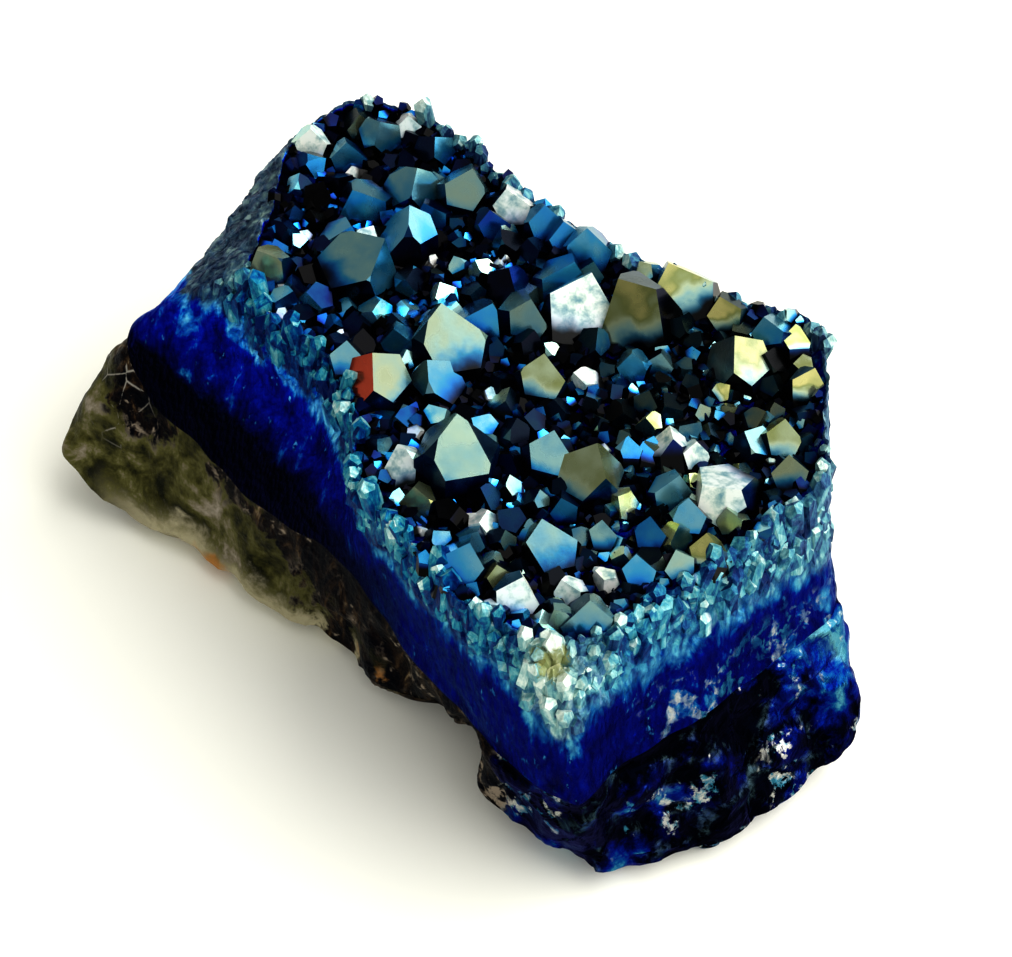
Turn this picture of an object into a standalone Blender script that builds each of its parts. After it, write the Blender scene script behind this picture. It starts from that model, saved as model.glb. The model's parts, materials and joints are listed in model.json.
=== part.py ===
"""Aura quartz geode: a broken block of host rock that carries a crust of quartz points.

Units are metres, +Z is up. The block stands on a flat broken face at z = 0, the origin is
under its middle, and +X runs along its long side toward the thick near end.
The outline is a list of stations that run anticlockwise round the block, seen from above.
"""

import math
import random

import bmesh
import bpy
from mathutils import Matrix, Vector, noise
from mathutils.bvhtree import BVHTree
from mathutils.geometry import delaunay_2d_cdt

MM = 0.001

# Where the middle of the block's box lies in the outline's own coordinates, in mm.
OUTLINE_MIDDLE = Vector((-1.0, 1.7, 0.0))

# Four points of each station, in mm: the rim of the crystal bed, the shoulder of the quartz
# wall, the seam between quartz and rock, and the widest part of the rock.
STATIONS = (
    # Near corner, cut off by a narrow facet that runs down to a point.
    ((27.0, -20.5, 31.0), (30.2, -22.4, 25.0), (32.0, -23.2, 14.5), (31.0, -22.2, 4.0)),
    ((29.3, -15.5, 30.5), (31.8, -19.8, 25.0), (33.4, -22.0, 15.0), (34.8, -20.8, 3.5)),
    # Near end, where the rock bulges out under the quartz.
    ((29.6, -11.5, 30.5), (31.2, -14.5, 25.0), (33.2, -15.5, 15.0), (37.8, -15.0, 3.0)),
    ((30.4, -6.0, 30.5), (31.8, -7.0, 25.0), (34.8, -8.0, 15.0), (41.0, -8.5, 2.5)),
    ((31.6, 0.5, 31.0), (32.6, 0.5, 25.5), (35.4, 0.5, 15.0), (42.3, -0.5, 3.0)),
    ((32.4, 7.0, 31.5), (33.2, 7.0, 25.5), (35.8, 7.2, 15.0), (42.5, 7.5, 4.5)),
    ((32.4, 12.3, 32.6), (33.4, 12.3, 25.5), (35.6, 12.4, 15.0), (40.4, 11.2, 7.0)),
    # Chamfered far corner.
    ((28.8, 16.7, 33.2), (29.5, 16.8, 26.0), (31.0, 17.0, 15.0), (33.0, 16.5, 5.0)),
    ((24.6, 21.8, 33.8), (25.0, 22.2, 26.0), (25.4, 23.0, 15.0), (26.5, 23.0, 5.0)),
    # Back, a plain broken wall.
    ((19.2, 25.6, 34.2), (18.8, 25.4, 26.0), (19.0, 26.4, 14.5), (19.5, 27.2, 4.5)),
    ((11.5, 22.8, 34.0), (12.0, 24.0, 26.0), (12.5, 26.0, 15.0), (12.0, 27.5, 4.0)),
    ((4.2, 20.8, 34.2), (4.2, 22.0, 26.5), (4.0, 24.2, 15.0), (3.5, 26.5, 3.0)),
    ((-4.0, 20.4, 34.2), (-4.5, 21.3, 26.0), (-5.0, 23.3, 14.0), (-5.0, 26.2, 4.0)),
    ((-12.0, 19.8, 34.2), (-12.4, 20.8, 26.0), (-13.0, 22.5, 15.0), (-13.0, 25.6, 3.0)),
    ((-19.5, 20.8, 34.2), (-20.0, 21.5, 26.5), (-21.0, 23.2, 15.5), (-21.5, 26.3, 4.0)),
    ((-26.5, 21.7, 34.2), (-27.5, 22.2, 26.0), (-28.5, 23.8, 14.5), (-29.5, 25.2, 3.0)),
    ((-34.0, 21.0, 34.2), (-34.8, 21.3, 26.5), (-36.0, 22.0, 15.5), (-37.3, 22.0, 4.5)),
    ((-38.9, 17.6, 34.0), (-40.2, 17.0, 28.0), (-41.5, 16.5, 16.5), (-42.0, 15.0, 5.0)),
    # Far end, with a sloping shoulder outside the crystals.
    ((-39.8, 12.0, 33.5), (-42.2, 11.0, 29.5), (-43.0, 9.5, 17.5), (-42.8, 8.0, 5.5)),
    ((-38.0, 7.0, 33.5), (-41.2, 5.5, 29.5), (-42.8, 3.0, 18.5), (-43.0, 1.0, 5.0)),
    ((-34.8, 3.0, 33.5), (-38.8, 0.5, 29.5), (-42.0, -3.5, 20.0), (-43.0, -6.0, 5.5)),
    ((-31.3, -2.3, 33.5), (-36.3, -6.0, 28.5), (-40.5, -10.0, 21.5), (-43.8, -11.5, 7.0)),
    ((-28.8, -6.0, 33.3), (-35.3, -11.3, 27.0), (-39.5, -14.6, 22.0), (-44.6, -18.0, 10.5)),
    # Slab corner: the rock sticks out below a scoop in the quartz.
    ((-26.8, -7.8, 33.0), (-33.0, -12.8, 25.0), (-37.5, -16.6, 19.0), (-43.0, -24.2, 8.5)),
    ((-24.5, -8.8, 33.0), (-28.5, -11.8, 25.0), (-33.5, -17.2, 16.0), (-36.5, -23.3, 3.5)),
    ((-19.5, -10.9, 33.0), (-22.5, -12.2, 24.0), (-27.0, -17.0, 14.8), (-28.5, -21.4, 2.5)),
    ((-14.5, -10.3, 33.0), (-16.5, -12.2, 24.0), (-19.5, -17.9, 14.0), (-20.5, -20.7, 2.5)),
    ((-9.0, -11.4, 32.5), (-10.2, -13.6, 24.0), (-12.4, -18.0, 14.5), (-12.5, -20.4, 2.5)),
    ((-4.1, -14.5, 32.0), (-4.6, -16.0, 24.0), (-5.5, -17.7, 15.0), (-4.5, -19.4, 2.5)),
    # Long front wall, nearly upright, with a notch low in the rock.
    ((-0.5, -18.8, 31.5), (0.2, -19.0, 24.0), (1.2, -18.8, 14.0), (4.0, -20.0, 3.0)),
    ((5.5, -20.0, 31.0), (6.5, -20.2, 23.0), (7.5, -20.2, 13.0), (10.5, -19.6, 5.5)),
    ((11.0, -21.0, 31.0), (12.5, -21.4, 23.0), (14.0, -21.3, 13.0), (17.0, -19.4, 7.5)),
    ((16.5, -22.2, 31.0), (18.2, -22.0, 23.0), (20.0, -22.2, 13.0), (20.5, -22.8, 5.0)),
    ((22.0, -21.3, 31.0), (24.4, -22.6, 24.0), (26.2, -23.6, 14.0), (26.3, -23.0, 3.5)),
)
RIM, SHOULDER, SEAM, BELLY = range(4)

COLUMNS_PER_STATION = 3
ROCK_ROWS = 5
LOWER_WALL_ROWS = 3
UPPER_WALL_ROWS = 2

# The rest face is set back under the belly by this share of the belly's height.
UNDERCUT = 0.9
# The long axis that the rest face is drawn in toward, in mm.
SPINE_HALF_LENGTH = 22.0
SPINE_Y = 2.0

# Grids of points reach this far from the middle, and everything is lower than this, in mm.
GRID_REACH = 46.0
ABOVE_ALL = 60.0

# Broken relief: how far it moves a point, and how wide its lumps are, in mm.
ROUGHNESS_SEED = 3
ROCK_ROUGHNESS = 1.1
ROCK_LUMP = 5.0
WALL_ROUGHNESS = 0.45
WALL_LUMP = 4.0
BED_ROUGHNESS = 0.7
BED_LUMP = 4.0

# The seam surface between rock and quartz is dished, and so is the crystal bed.
SEAM_DIP = 2.0
SEAM_SPACING = 8.0
SEAM_GAP = 0.3
BED_DIP = 1.6
BED_SPACING = 6.0
# Dish points keep this share of their spacing from the edge of the dish.
DISH_MARGIN = 0.5
MERGE_DISTANCE = 1e-6

# A rhombohedral face of quartz stands at this angle to the long axis of its crystal.
FACE_TO_AXIS = math.radians(38.2)
# Every second end face is set back by this share of the width, and so comes out smaller.
FACE_SETBACK = 0.2
# Height of the tip and depth of the root, as shares of the width.
TIP_HEIGHT = 0.75
ROOT_DEPTH = 0.55

# Large quartz points: x and y in mm, width across the flats in mm, tilt and the direction
# of that tilt in degrees, and whether a face or a ridge is turned to the near left corner.
FACE, RIDGE = 0.0, 60.0
LARGE_POINTS = (
    (-20.0, 0.5, 6.6, 28, 50, RIDGE),
    (-25.0, 3.0, 4.0, 26, 20, FACE),
    (-19.0, 7.0, 4.8, 22, 140, RIDGE),
    (-5.0, -0.5, 6.2, 24, -125, FACE),
    (-3.0, -4.5, 4.2, 6, -155, RIDGE),
    (-7.0, -8.5, 5.6, 10, -170, RIDGE),
    (-11.0, -9.0, 3.8, 8, 120, FACE),
    (5.5, -10.5, 6.5, 8, 125, FACE),
    (2.0, -14.0, 3.8, 30, -165, FACE),
    (6.0, -16.0, 3.2, 18, -115, FACE),
    (11.5, -4.0, 4.2, 18, 95, FACE),
    (16.0, -3.0, 5.2, 15, 120, RIDGE),
    (19.0, -11.5, 4.4, 14, 150, FACE),
    (1.0, 11.5, 5.6, 16, 65, FACE),
    (5.5, 15.0, 6.6, 32, -128, FACE),
    (4.0, 3.0, 4.6, 14, 100, FACE),
    (17.0, 17.0, 6.4, 40, -128, FACE),
    (26.5, 4.5, 5.2, 36, -110, FACE),
    (7.5, 20.5, 5.0, 16, -140, FACE),
    (12.0, 21.5, 3.6, 22, -118, FACE),
    (17.5, 22.5, 4.0, 22, -155, FACE),
    (24.0, 19.5, 3.6, 20, 30, FACE),
    (19.0, 5.0, 3.7, 44, 143, RIDGE),
    (24.5, 11.0, 3.7, 26, -135, RIDGE),
    (27.0, 13.5, 3.7, 12, 85, FACE),
    (30.5, 11.0, 3.6, 20, 170, FACE),
    (22.5, 1.0, 3.8, 18, 30, FACE),
    (26.0, 0.0, 3.6, 8, 145, FACE),
    (24.5, -3.5, 3.4, 15, 140, FACE),
    (26.5, -7.5, 3.6, 14, 150, FACE),
    (30.0, -2.0, 3.2, 16, 160, FACE),
    (20.5, -18.2, 4.0, 22, 30, FACE),
    (14.0, -18.8, 4.4, 14, 50, FACE),
    (27.0, -15.5, 4.2, 8, -60, FACE),
    (-24.5, 13.0, 4.7, 10, 0, RIDGE),
    (-20.0, 16.0, 4.3, 14, 25, FACE),
    (-14.5, 15.0, 3.6, 12, -15, FACE),
    (-14.5, 18.3, 4.0, 12, -100, FACE),
    (-4.0, 18.5, 4.2, 10, -40, FACE),
    (-3.5, 13.5, 4.5, 20, 10, FACE),
    (-6.0, 4.5, 4.5, 20, 30, FACE),
    (-3.0, 7.5, 4.5, 22, 25, FACE),
    (-10.0, -3.0, 3.6, 14, -80, FACE),
    (-26.5, 8.0, 4.7, 26, -75, FACE),
    (-26.5, -6.0, 4.0, 26, -114, FACE),
    (-33.0, 12.0, 3.8, 18, -20, FACE),
    (-33.0, 16.5, 4.0, 20, -25, RIDGE),
    (-27.0, 19.0, 3.8, 12, -40, RIDGE),
    (-37.5, 10.5, 3.6, 16, -30, FACE),
    (-7.5, 10.0, 3.9, 10, -45, RIDGE),
)
# The near left corner of the block as a direction, in degrees from +X.
FACE_DIRECTION = -46.0

SMALL_POINT_SPACING = 4.5
SMALL_POINT_SHAKE = 0.3
SMALL_POINT_WIDTHS = (2.8, 4.0)
SMALL_POINT_TILT = 28.0
SMALL_POINT_CROWDING = 0.36
SMALL_POINT_EDGE = 1.4
SMALL_POINT_SEED = 11
# A row of small points stands along the rim, except where the corner facet starts.
RIM_POINT_COLUMNS = 4
RIM_POINT_INSET = 1.7
RIM_POINT_TILT = 14.0
CORNER_COLUMNS = 5


def clear_scene():
    for existing in list(bpy.data.objects):
        bpy.data.objects.remove(existing, do_unlink=True)


def make_material(name, colour, roughness, metallic):
    material = bpy.data.materials.new(name)
    material.use_nodes = True
    shader = material.node_tree.nodes["Principled BSDF"]
    shader.inputs["Base Color"].default_value = (*colour, 1.0)
    shader.inputs["Roughness"].default_value = roughness
    shader.inputs["Metallic"].default_value = metallic
    return material


def add_object(name, mesh, material):
    new_object = bpy.data.objects.new(name, mesh)
    bpy.context.scene.collection.objects.link(new_object)
    new_object.location = -OUTLINE_MIDDLE * MM
    mesh.materials.append(material)
    return new_object


def curve_point(before, start, end, after, t):
    """Point at t on the smooth curve from start to end, led by its neighbours."""
    return 0.5 * (
        2 * start
        + (end - before) * t
        + (2 * before - 5 * start + 4 * end - after) * t * t
        + (3 * start - before - 3 * end + after) * t * t * t
    )


def outline_ring(level):
    """Points of one level all the way round, with columns between the stations."""
    points = [Vector(station[level]) for station in STATIONS]
    count = len(points)
    ring = []
    for index in range(count):
        before = points[index - 1]
        start = points[index]
        end = points[(index + 1) % count]
        after = points[(index + 2) % count]
        for step in range(COLUMNS_PER_STATION):
            ring.append(curve_point(before, start, end, after, step / COLUMNS_PER_STATION))
    return ring


def rough(point, amount, size):
    """The point moved by smooth noise of about the given amount, in mm."""
    return point + amount * noise.noise_vector(point / size)


def rough_ring(ring, amount, size):
    return [rough(point, amount, size) for point in ring]


def between(first, second, share):
    return [a.lerp(b, share) for a, b in zip(first, second)]


def rest_ring(belly):
    """The edge of the rest face: under the belly, drawn in toward the long axis, flat."""
    ring = []
    for point in belly:
        spine_x = max(-SPINE_HALF_LENGTH, min(SPINE_HALF_LENGTH, point.x))
        inward = Vector((spine_x - point.x, SPINE_Y - point.y)).normalized()
        step = UNDERCUT * point.z
        ring.append(Vector((point.x + inward.x * step, point.y + inward.y * step, 0.0)))
    return ring


def inside(ring, x, y, margin):
    """Whether a place lies inside the ring by at least the margin."""
    crossings = 0
    for index, start in enumerate(ring):
        end = ring[(index + 1) % len(ring)]
        if (start.y > y) != (end.y > y):
            at_x = start.x + (y - start.y) / (end.y - start.y) * (end.x - start.x)
            crossings += at_x > x
    nearest = min(math.hypot(point.x - x, point.y - y) for point in ring)
    return crossings % 2 == 1 and nearest > margin


def triangular_grid(spacing):
    """Places of an even triangular grid that covers the block."""
    row_step = spacing * math.sqrt(0.75)
    rows = int(GRID_REACH / row_step)
    columns = int(GRID_REACH / spacing)
    for row in range(-rows, rows + 1):
        for column in range(-columns, columns + 1):
            yield (column + 0.5 * (row % 2)) * spacing, row * row_step


def height_within(edge, x, y):
    """Height that the edge's points give a place inside it, the nearer ones more."""
    weights = [1.0 / ((point.x - x) ** 2 + (point.y - y) ** 2) for point in edge]
    total = sum(weight * point.z for weight, point in zip(weights, edge))
    return total / sum(weights)


def dish(edge, spacing, dip):
    """Points inside an edge, and the triangles that fill it, numbered edge first."""
    inner = []
    for x, y in triangular_grid(spacing):
        if inside(edge, x, y, DISH_MARGIN * spacing):
            point = Vector((x, y, height_within(edge, x, y) - dip))
            inner.append(rough(point, BED_ROUGHNESS, BED_LUMP))
    flat = [point.to_2d() for point in edge + inner]
    triangles_only = 1
    outline = [list(range(len(edge)))]
    filled = delaunay_2d_cdt(flat, [], outline, triangles_only, MERGE_DISTANCE)
    first_source = [sources[0] for sources in filled[3]]
    return inner, [[first_source[vert] for vert in face] for face in filled[2]]


def add_ring(mesh, ring):
    return [mesh.verts.new(point * MM) for point in ring]


def skin(mesh, rings):
    """Triangles between neighbouring rings."""
    for lower, upper in zip(rings, rings[1:]):
        count = len(lower)
        for index in range(count):
            after = (index + 1) % count
            mesh.faces.new((lower[index], lower[after], upper[after]))
            mesh.faces.new((lower[index], upper[after], upper[index]))


def close(mesh, ring, inner, triangles, face_down=False):
    """Closes a ring with a dish."""
    verts = ring + add_ring(mesh, inner)
    for triangle in triangles:
        corners = [verts[index] for index in triangle]
        mesh.faces.new(reversed(corners) if face_down else corners)


def finish_mesh(mesh, name):
    data = bpy.data.meshes.new(name)
    mesh.to_mesh(data)
    mesh.free()
    return data


def seam_ring():
    return rough_ring(outline_ring(SEAM), WALL_ROUGHNESS, WALL_LUMP)


def make_host_rock(material):
    """The broken rock: flat rest face, bulging walls, and a dished top under the quartz."""
    seam = seam_ring()
    belly = rough_ring(outline_ring(BELLY), ROCK_ROUGHNESS, ROCK_LUMP)
    wall = []
    for row in range(ROCK_ROWS):
        share = row / ROCK_ROWS
        swell = ROCK_ROUGHNESS * math.sin(math.pi * share)
        wall.append(rough_ring(between(belly, seam, share), swell, ROCK_LUMP))
    rock = bmesh.new()
    rings = [add_ring(rock, ring) for ring in [rest_ring(belly)] + wall + [seam]]
    skin(rock, rings)
    close(rock, rings[-1], *dish(seam, SEAM_SPACING, SEAM_DIP))
    rock.faces.new(reversed(rings[0]))
    return add_object("host_rock", finish_mesh(rock, "host_rock"), material)


def make_quartz_bed():
    """The crust without its points: seam surface below, broken walls, dished bed on top.

    Its underside is the rock's top, lifted by the gap.
    """
    lift = Vector((0.0, 0.0, SEAM_GAP))
    seam = seam_ring()
    under, under_triangles = dish(seam, SEAM_SPACING, SEAM_DIP)
    foot = [point + lift for point in seam]
    shoulder = rough_ring(outline_ring(SHOULDER), WALL_ROUGHNESS, WALL_LUMP)
    rim = rough_ring(outline_ring(RIM), WALL_ROUGHNESS, WALL_LUMP)
    wall = [between(foot, shoulder, row / LOWER_WALL_ROWS) for row in range(LOWER_WALL_ROWS)]
    wall += [between(shoulder, rim, row / UPPER_WALL_ROWS) for row in range(UPPER_WALL_ROWS + 1)]
    quartz = bmesh.new()
    rings = [add_ring(quartz, ring) for ring in wall]
    skin(quartz, rings)
    close(quartz, rings[0], [point + lift for point in under], under_triangles, face_down=True)
    close(quartz, rings[-1], *dish(rim, BED_SPACING, BED_DIP))
    return finish_mesh(quartz, "crystal_crust")


def quartz_point(width, turn):
    """A quartz crystal: six sides, and six end faces of which three are larger.

    Its tip is on its own +Z above the origin, and its root runs below the origin.
    """
    tip = TIP_HEIGHT * width
    root = ROOT_DEPTH * width
    corner = width / math.sqrt(3.0)
    turned = Matrix.Rotation(math.radians(turn), 4, "Z")
    crystal = bmesh.new()
    bmesh.ops.create_cone(
        crystal,
        cap_ends=True,
        segments=6,
        radius1=corner,
        radius2=corner,
        depth=tip + root,
        matrix=Matrix.Translation((0.0, 0.0, (tip - root) / 2)) @ turned,
    )
    for face in range(6):
        heading = math.radians(turn + 60.0 * face)
        normal = Vector((
            math.cos(heading) * math.cos(FACE_TO_AXIS),
            math.sin(heading) * math.cos(FACE_TO_AXIS),
            math.sin(FACE_TO_AXIS),
        ))
        setback = FACE_SETBACK * width * (face % 2)
        cut = bmesh.ops.bisect_plane(
            crystal,
            geom=crystal.verts[:] + crystal.edges[:] + crystal.faces[:],
            plane_co=(0.0, 0.0, tip + setback),
            plane_no=normal,
            clear_outer=True,
        )
        edges = [item for item in cut["geom_cut"] if isinstance(item, bmesh.types.BMEdge)]
        bmesh.ops.edgeloop_fill(crystal, edges=edges)
    bmesh.ops.recalc_face_normals(crystal, faces=crystal.faces[:])
    return crystal


def standing_matrix(foot, tilt, direction):
    """Places a crystal on its foot, leaning by tilt degrees toward direction."""
    lean = Matrix.Rotation(math.radians(tilt), 4, "Y")
    swing = Matrix.Rotation(math.radians(direction), 4, "Z")
    return Matrix.Translation(foot) @ swing @ lean @ swing.inverted()


def bed_height(bed_tree, x, y):
    hit = bed_tree.ray_cast(Vector((x, y, ABOVE_ALL)) * MM, Vector((0.0, 0.0, -1.0)))[0]
    return hit.z / MM


def rim_places(rim):
    """Places just inside the rim, each with the direction that leads outward."""
    count = len(rim)
    for column in range(CORNER_COLUMNS, count - 1, RIM_POINT_COLUMNS):
        along = rim[(column + 1) % count] - rim[column - 1]
        outward = Vector((along.y, -along.x)).normalized()
        x = rim[column].x - RIM_POINT_INSET * outward.x
        y = rim[column].y - RIM_POINT_INSET * outward.y
        yield x, y, math.degrees(math.atan2(outward.y, outward.x))


def small_points(rim, large):
    """Smaller quartz points along the rim and on a shaken grid, where there is room."""
    chance = random.Random(SMALL_POINT_SEED)
    taken = [(x, y, width) for x, y, width, *rest in large]
    found = []

    def grow(x, y, tilt, direction):
        width = chance.uniform(*SMALL_POINT_WIDTHS)
        turn = chance.uniform(0.0, 120.0)
        crowded = any(
            math.hypot(x - other_x, y - other_y) < SMALL_POINT_CROWDING * (width + other_width)
            for other_x, other_y, other_width in taken
        )
        if not crowded:
            taken.append((x, y, width))
            found.append((x, y, width, tilt, direction, turn))

    for x, y, outward in rim_places(rim):
        grow(x, y, RIM_POINT_TILT, outward)
    shake = SMALL_POINT_SHAKE * SMALL_POINT_SPACING
    for grid_x, grid_y in triangular_grid(SMALL_POINT_SPACING):
        x = grid_x + chance.uniform(-shake, shake)
        y = grid_y + chance.uniform(-shake, shake)
        tilt = chance.uniform(0.0, SMALL_POINT_TILT)
        direction = chance.uniform(0.0, 360.0)
        if inside(rim, x, y, SMALL_POINT_EDGE):
            grow(x, y, tilt, direction)
    return found


def make_crystal_crust(material):
    """The quartz bed with every point joined to it in one solid."""
    bed = make_quartz_bed()
    crust = add_object("crystal_crust", bed, material)
    bed_mesh = bmesh.new()
    bed_mesh.from_mesh(bed)
    bed_tree = BVHTree.FromBMesh(bed_mesh)
    bed_mesh.free()
    large = [(*place, FACE_DIRECTION + turn) for *place, turn in LARGE_POINTS]
    rim = outline_ring(RIM)
    points = bpy.data.collections.new("quartz_points")
    for x, y, width, tilt, direction, turn in large + small_points(rim, large):
        crystal = quartz_point(width, turn)
        foot = Vector((x, y, bed_height(bed_tree, x, y)))
        place = Matrix.Scale(MM, 4) @ standing_matrix(foot, tilt, direction)
        bmesh.ops.transform(crystal, matrix=place, verts=crystal.verts)
        helper = bpy.data.objects.new("quartz_point", finish_mesh(crystal, "quartz_point"))
        helper.location = crust.location
        helper.hide_render = True
        helper.display_type = "WIRE"
        points.objects.link(helper)
    bpy.context.scene.collection.children.link(points)
    union = crust.modifiers.new("join_points", "BOOLEAN")
    union.operation = "UNION"
    union.operand_type = "COLLECTION"
    union.collection = points
    union.solver = "MANIFOLD"
    return crust


def main():
    clear_scene()
    noise.seed_set(ROUGHNESS_SEED)
    make_host_rock(make_material("host_rock", (0.02, 0.02, 0.05), 0.7, 0.0))
    make_crystal_crust(make_material("aura_quartz", (0.06, 0.22, 0.5), 0.2, 0.6))


main()
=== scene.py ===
"""Looks of a small aura quartz geode: coated crystals on a wall of quartz over dark host rock.

The file is laid out as a Blender add-on and is run as a script. Shapes are worked out in
the outline's own coordinates, in mm, and moved to the frame's place in metres at the end.
"""

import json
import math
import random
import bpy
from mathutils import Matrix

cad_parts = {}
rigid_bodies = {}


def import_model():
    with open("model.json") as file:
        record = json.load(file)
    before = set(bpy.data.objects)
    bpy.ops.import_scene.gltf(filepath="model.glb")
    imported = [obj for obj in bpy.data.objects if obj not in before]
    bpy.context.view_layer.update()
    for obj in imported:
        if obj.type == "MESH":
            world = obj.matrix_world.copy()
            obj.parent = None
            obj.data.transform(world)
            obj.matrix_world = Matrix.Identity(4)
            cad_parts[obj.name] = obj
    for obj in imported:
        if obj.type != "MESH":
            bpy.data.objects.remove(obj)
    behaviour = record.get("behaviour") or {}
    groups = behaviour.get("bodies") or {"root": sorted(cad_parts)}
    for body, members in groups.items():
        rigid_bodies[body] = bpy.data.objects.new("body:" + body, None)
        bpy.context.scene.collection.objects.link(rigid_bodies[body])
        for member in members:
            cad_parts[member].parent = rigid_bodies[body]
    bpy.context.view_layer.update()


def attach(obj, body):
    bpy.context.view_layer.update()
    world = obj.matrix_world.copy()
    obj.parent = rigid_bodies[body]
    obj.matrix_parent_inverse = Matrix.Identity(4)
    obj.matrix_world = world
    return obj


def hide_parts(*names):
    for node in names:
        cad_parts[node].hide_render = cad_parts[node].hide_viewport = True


bl_info = {
    "name": "Aura quartz geode",
    "version": (1, 0, 0),
    "blender": (4, 5, 0),
    "location": "3D View > Sidebar > Geode",
    "description": "Builds the rock, quartz walls and coated crystals of a small geode",
    "category": "Add Mesh",
}

import bmesh
import bpy
import numpy as np
from mathutils import Matrix, Vector, noise

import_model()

MM = 0.001
ROOT = "root"

# Where the middle of the block's box lies in the outline's own coordinates, in mm.
OUTLINE_MIDDLE = np.array((-1.0, 1.7, 0.0))

# Four points of each station, in mm: the rim of the crystal bed, the shoulder of the quartz
# wall, the seam between quartz and rock, and the widest part of the rock. The stations run
# anticlockwise round the block, seen from above.
STATIONS = (
    # Near corner, cut off by a narrow facet that runs down to a point.
    ((27.0, -20.5, 31.0), (30.2, -22.4, 25.0), (32.0, -23.2, 14.5), (31.0, -22.2, 4.0)),
    ((29.3, -15.5, 30.5), (31.8, -19.8, 25.0), (33.4, -22.0, 15.0), (34.8, -20.8, 3.5)),
    # Near end, where the rock bulges out under the quartz.
    ((29.6, -11.5, 30.5), (31.2, -14.5, 25.0), (33.2, -15.5, 15.0), (37.8, -15.0, 3.0)),
    ((30.4, -6.0, 30.5), (31.8, -7.0, 25.0), (34.8, -8.0, 15.0), (41.0, -8.5, 2.5)),
    ((31.6, 0.5, 31.0), (32.6, 0.5, 25.5), (35.4, 0.5, 15.0), (42.3, -0.5, 3.0)),
    ((32.4, 7.0, 31.5), (33.2, 7.0, 25.5), (35.8, 7.2, 15.0), (42.5, 7.5, 4.5)),
    ((32.4, 12.3, 32.6), (33.4, 12.3, 25.5), (35.6, 12.4, 15.0), (40.4, 11.2, 7.0)),
    # Chamfered far corner.
    ((28.8, 16.7, 33.2), (29.5, 16.8, 26.0), (31.0, 17.0, 15.0), (33.0, 16.5, 5.0)),
    ((24.6, 21.8, 33.8), (25.0, 22.2, 26.0), (25.4, 23.0, 15.0), (26.5, 23.0, 5.0)),
    # Back, a plain broken wall.
    ((19.2, 25.6, 34.2), (18.8, 25.4, 26.0), (19.0, 26.4, 14.5), (19.5, 27.2, 4.5)),
    ((11.5, 22.8, 34.0), (12.0, 24.0, 26.0), (12.5, 26.0, 15.0), (12.0, 27.5, 4.0)),
    ((4.2, 20.8, 34.2), (4.2, 22.0, 26.5), (4.0, 24.2, 15.0), (3.5, 26.5, 3.0)),
    ((-4.0, 20.4, 34.2), (-4.5, 21.3, 26.0), (-5.0, 23.3, 14.0), (-5.0, 26.2, 4.0)),
    ((-12.0, 19.8, 34.2), (-12.4, 20.8, 26.0), (-13.0, 22.5, 15.0), (-13.0, 25.6, 3.0)),
    ((-19.5, 20.8, 34.2), (-20.0, 21.5, 26.5), (-21.0, 23.2, 15.5), (-21.5, 26.3, 4.0)),
    ((-26.5, 21.7, 34.2), (-27.5, 22.2, 26.0), (-28.5, 23.8, 14.5), (-29.5, 25.2, 3.0)),
    ((-34.0, 21.0, 34.2), (-34.8, 21.3, 26.5), (-36.0, 22.0, 15.5), (-37.3, 22.0, 4.5)),
    ((-38.9, 17.6, 34.0), (-40.2, 17.0, 28.0), (-41.5, 16.5, 16.5), (-42.0, 15.0, 5.0)),
    # Far end, with a sloping shoulder outside the crystals.
    ((-39.8, 12.0, 33.5), (-42.2, 11.0, 29.5), (-43.0, 9.5, 17.5), (-42.8, 8.0, 5.5)),
    ((-38.0, 7.0, 33.5), (-41.2, 5.5, 29.5), (-42.8, 3.0, 18.5), (-43.0, 1.0, 5.0)),
    ((-34.8, 3.0, 33.5), (-38.8, 0.5, 29.5), (-42.0, -3.5, 20.0), (-43.0, -6.0, 5.5)),
    ((-31.3, -2.3, 33.5), (-36.3, -6.0, 28.5), (-40.5, -10.0, 21.5), (-43.8, -11.5, 7.0)),
    ((-28.8, -6.0, 33.3), (-35.3, -11.3, 27.0), (-39.5, -14.6, 22.0), (-44.6, -18.0, 10.5)),
    # Slab corner: the rock sticks out below a scoop in the quartz.
    ((-26.8, -7.8, 33.0), (-33.0, -12.8, 25.0), (-37.5, -16.6, 19.0), (-43.0, -24.2, 8.5)),
    ((-24.5, -8.8, 33.0), (-28.5, -11.8, 25.0), (-33.5, -17.2, 16.0), (-36.5, -23.3, 3.5)),
    ((-19.5, -10.9, 33.0), (-22.5, -12.2, 24.0), (-27.0, -17.0, 14.8), (-28.5, -21.4, 2.5)),
    ((-14.5, -10.3, 33.0), (-16.5, -12.2, 24.0), (-19.5, -17.9, 14.0), (-20.5, -20.7, 2.5)),
    ((-9.0, -11.4, 32.5), (-10.2, -13.6, 24.0), (-12.4, -18.0, 14.5), (-12.5, -20.4, 2.5)),
    ((-4.1, -14.5, 32.0), (-4.6, -16.0, 24.0), (-5.5, -17.7, 15.0), (-4.5, -19.4, 2.5)),
    # Long front wall, nearly upright, with a notch low in the rock.
    ((-0.5, -18.8, 31.5), (0.2, -19.0, 24.0), (1.2, -18.8, 14.0), (4.0, -20.0, 3.0)),
    ((5.5, -20.0, 31.0), (6.5, -20.2, 23.0), (7.5, -20.2, 13.0), (10.5, -19.6, 5.5)),
    ((11.0, -21.0, 31.0), (12.5, -21.4, 23.0), (14.0, -21.3, 13.0), (17.0, -19.4, 7.5)),
    ((16.5, -22.2, 31.0), (18.2, -22.0, 23.0), (20.0, -22.2, 13.0), (20.5, -22.8, 5.0)),
    ((22.0, -21.3, 31.0), (24.4, -22.6, 24.0), (26.2, -23.6, 14.0), (26.3, -23.0, 3.5)),
)
RIM, SHOULDER, SEAM, BELLY = range(4)

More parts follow.
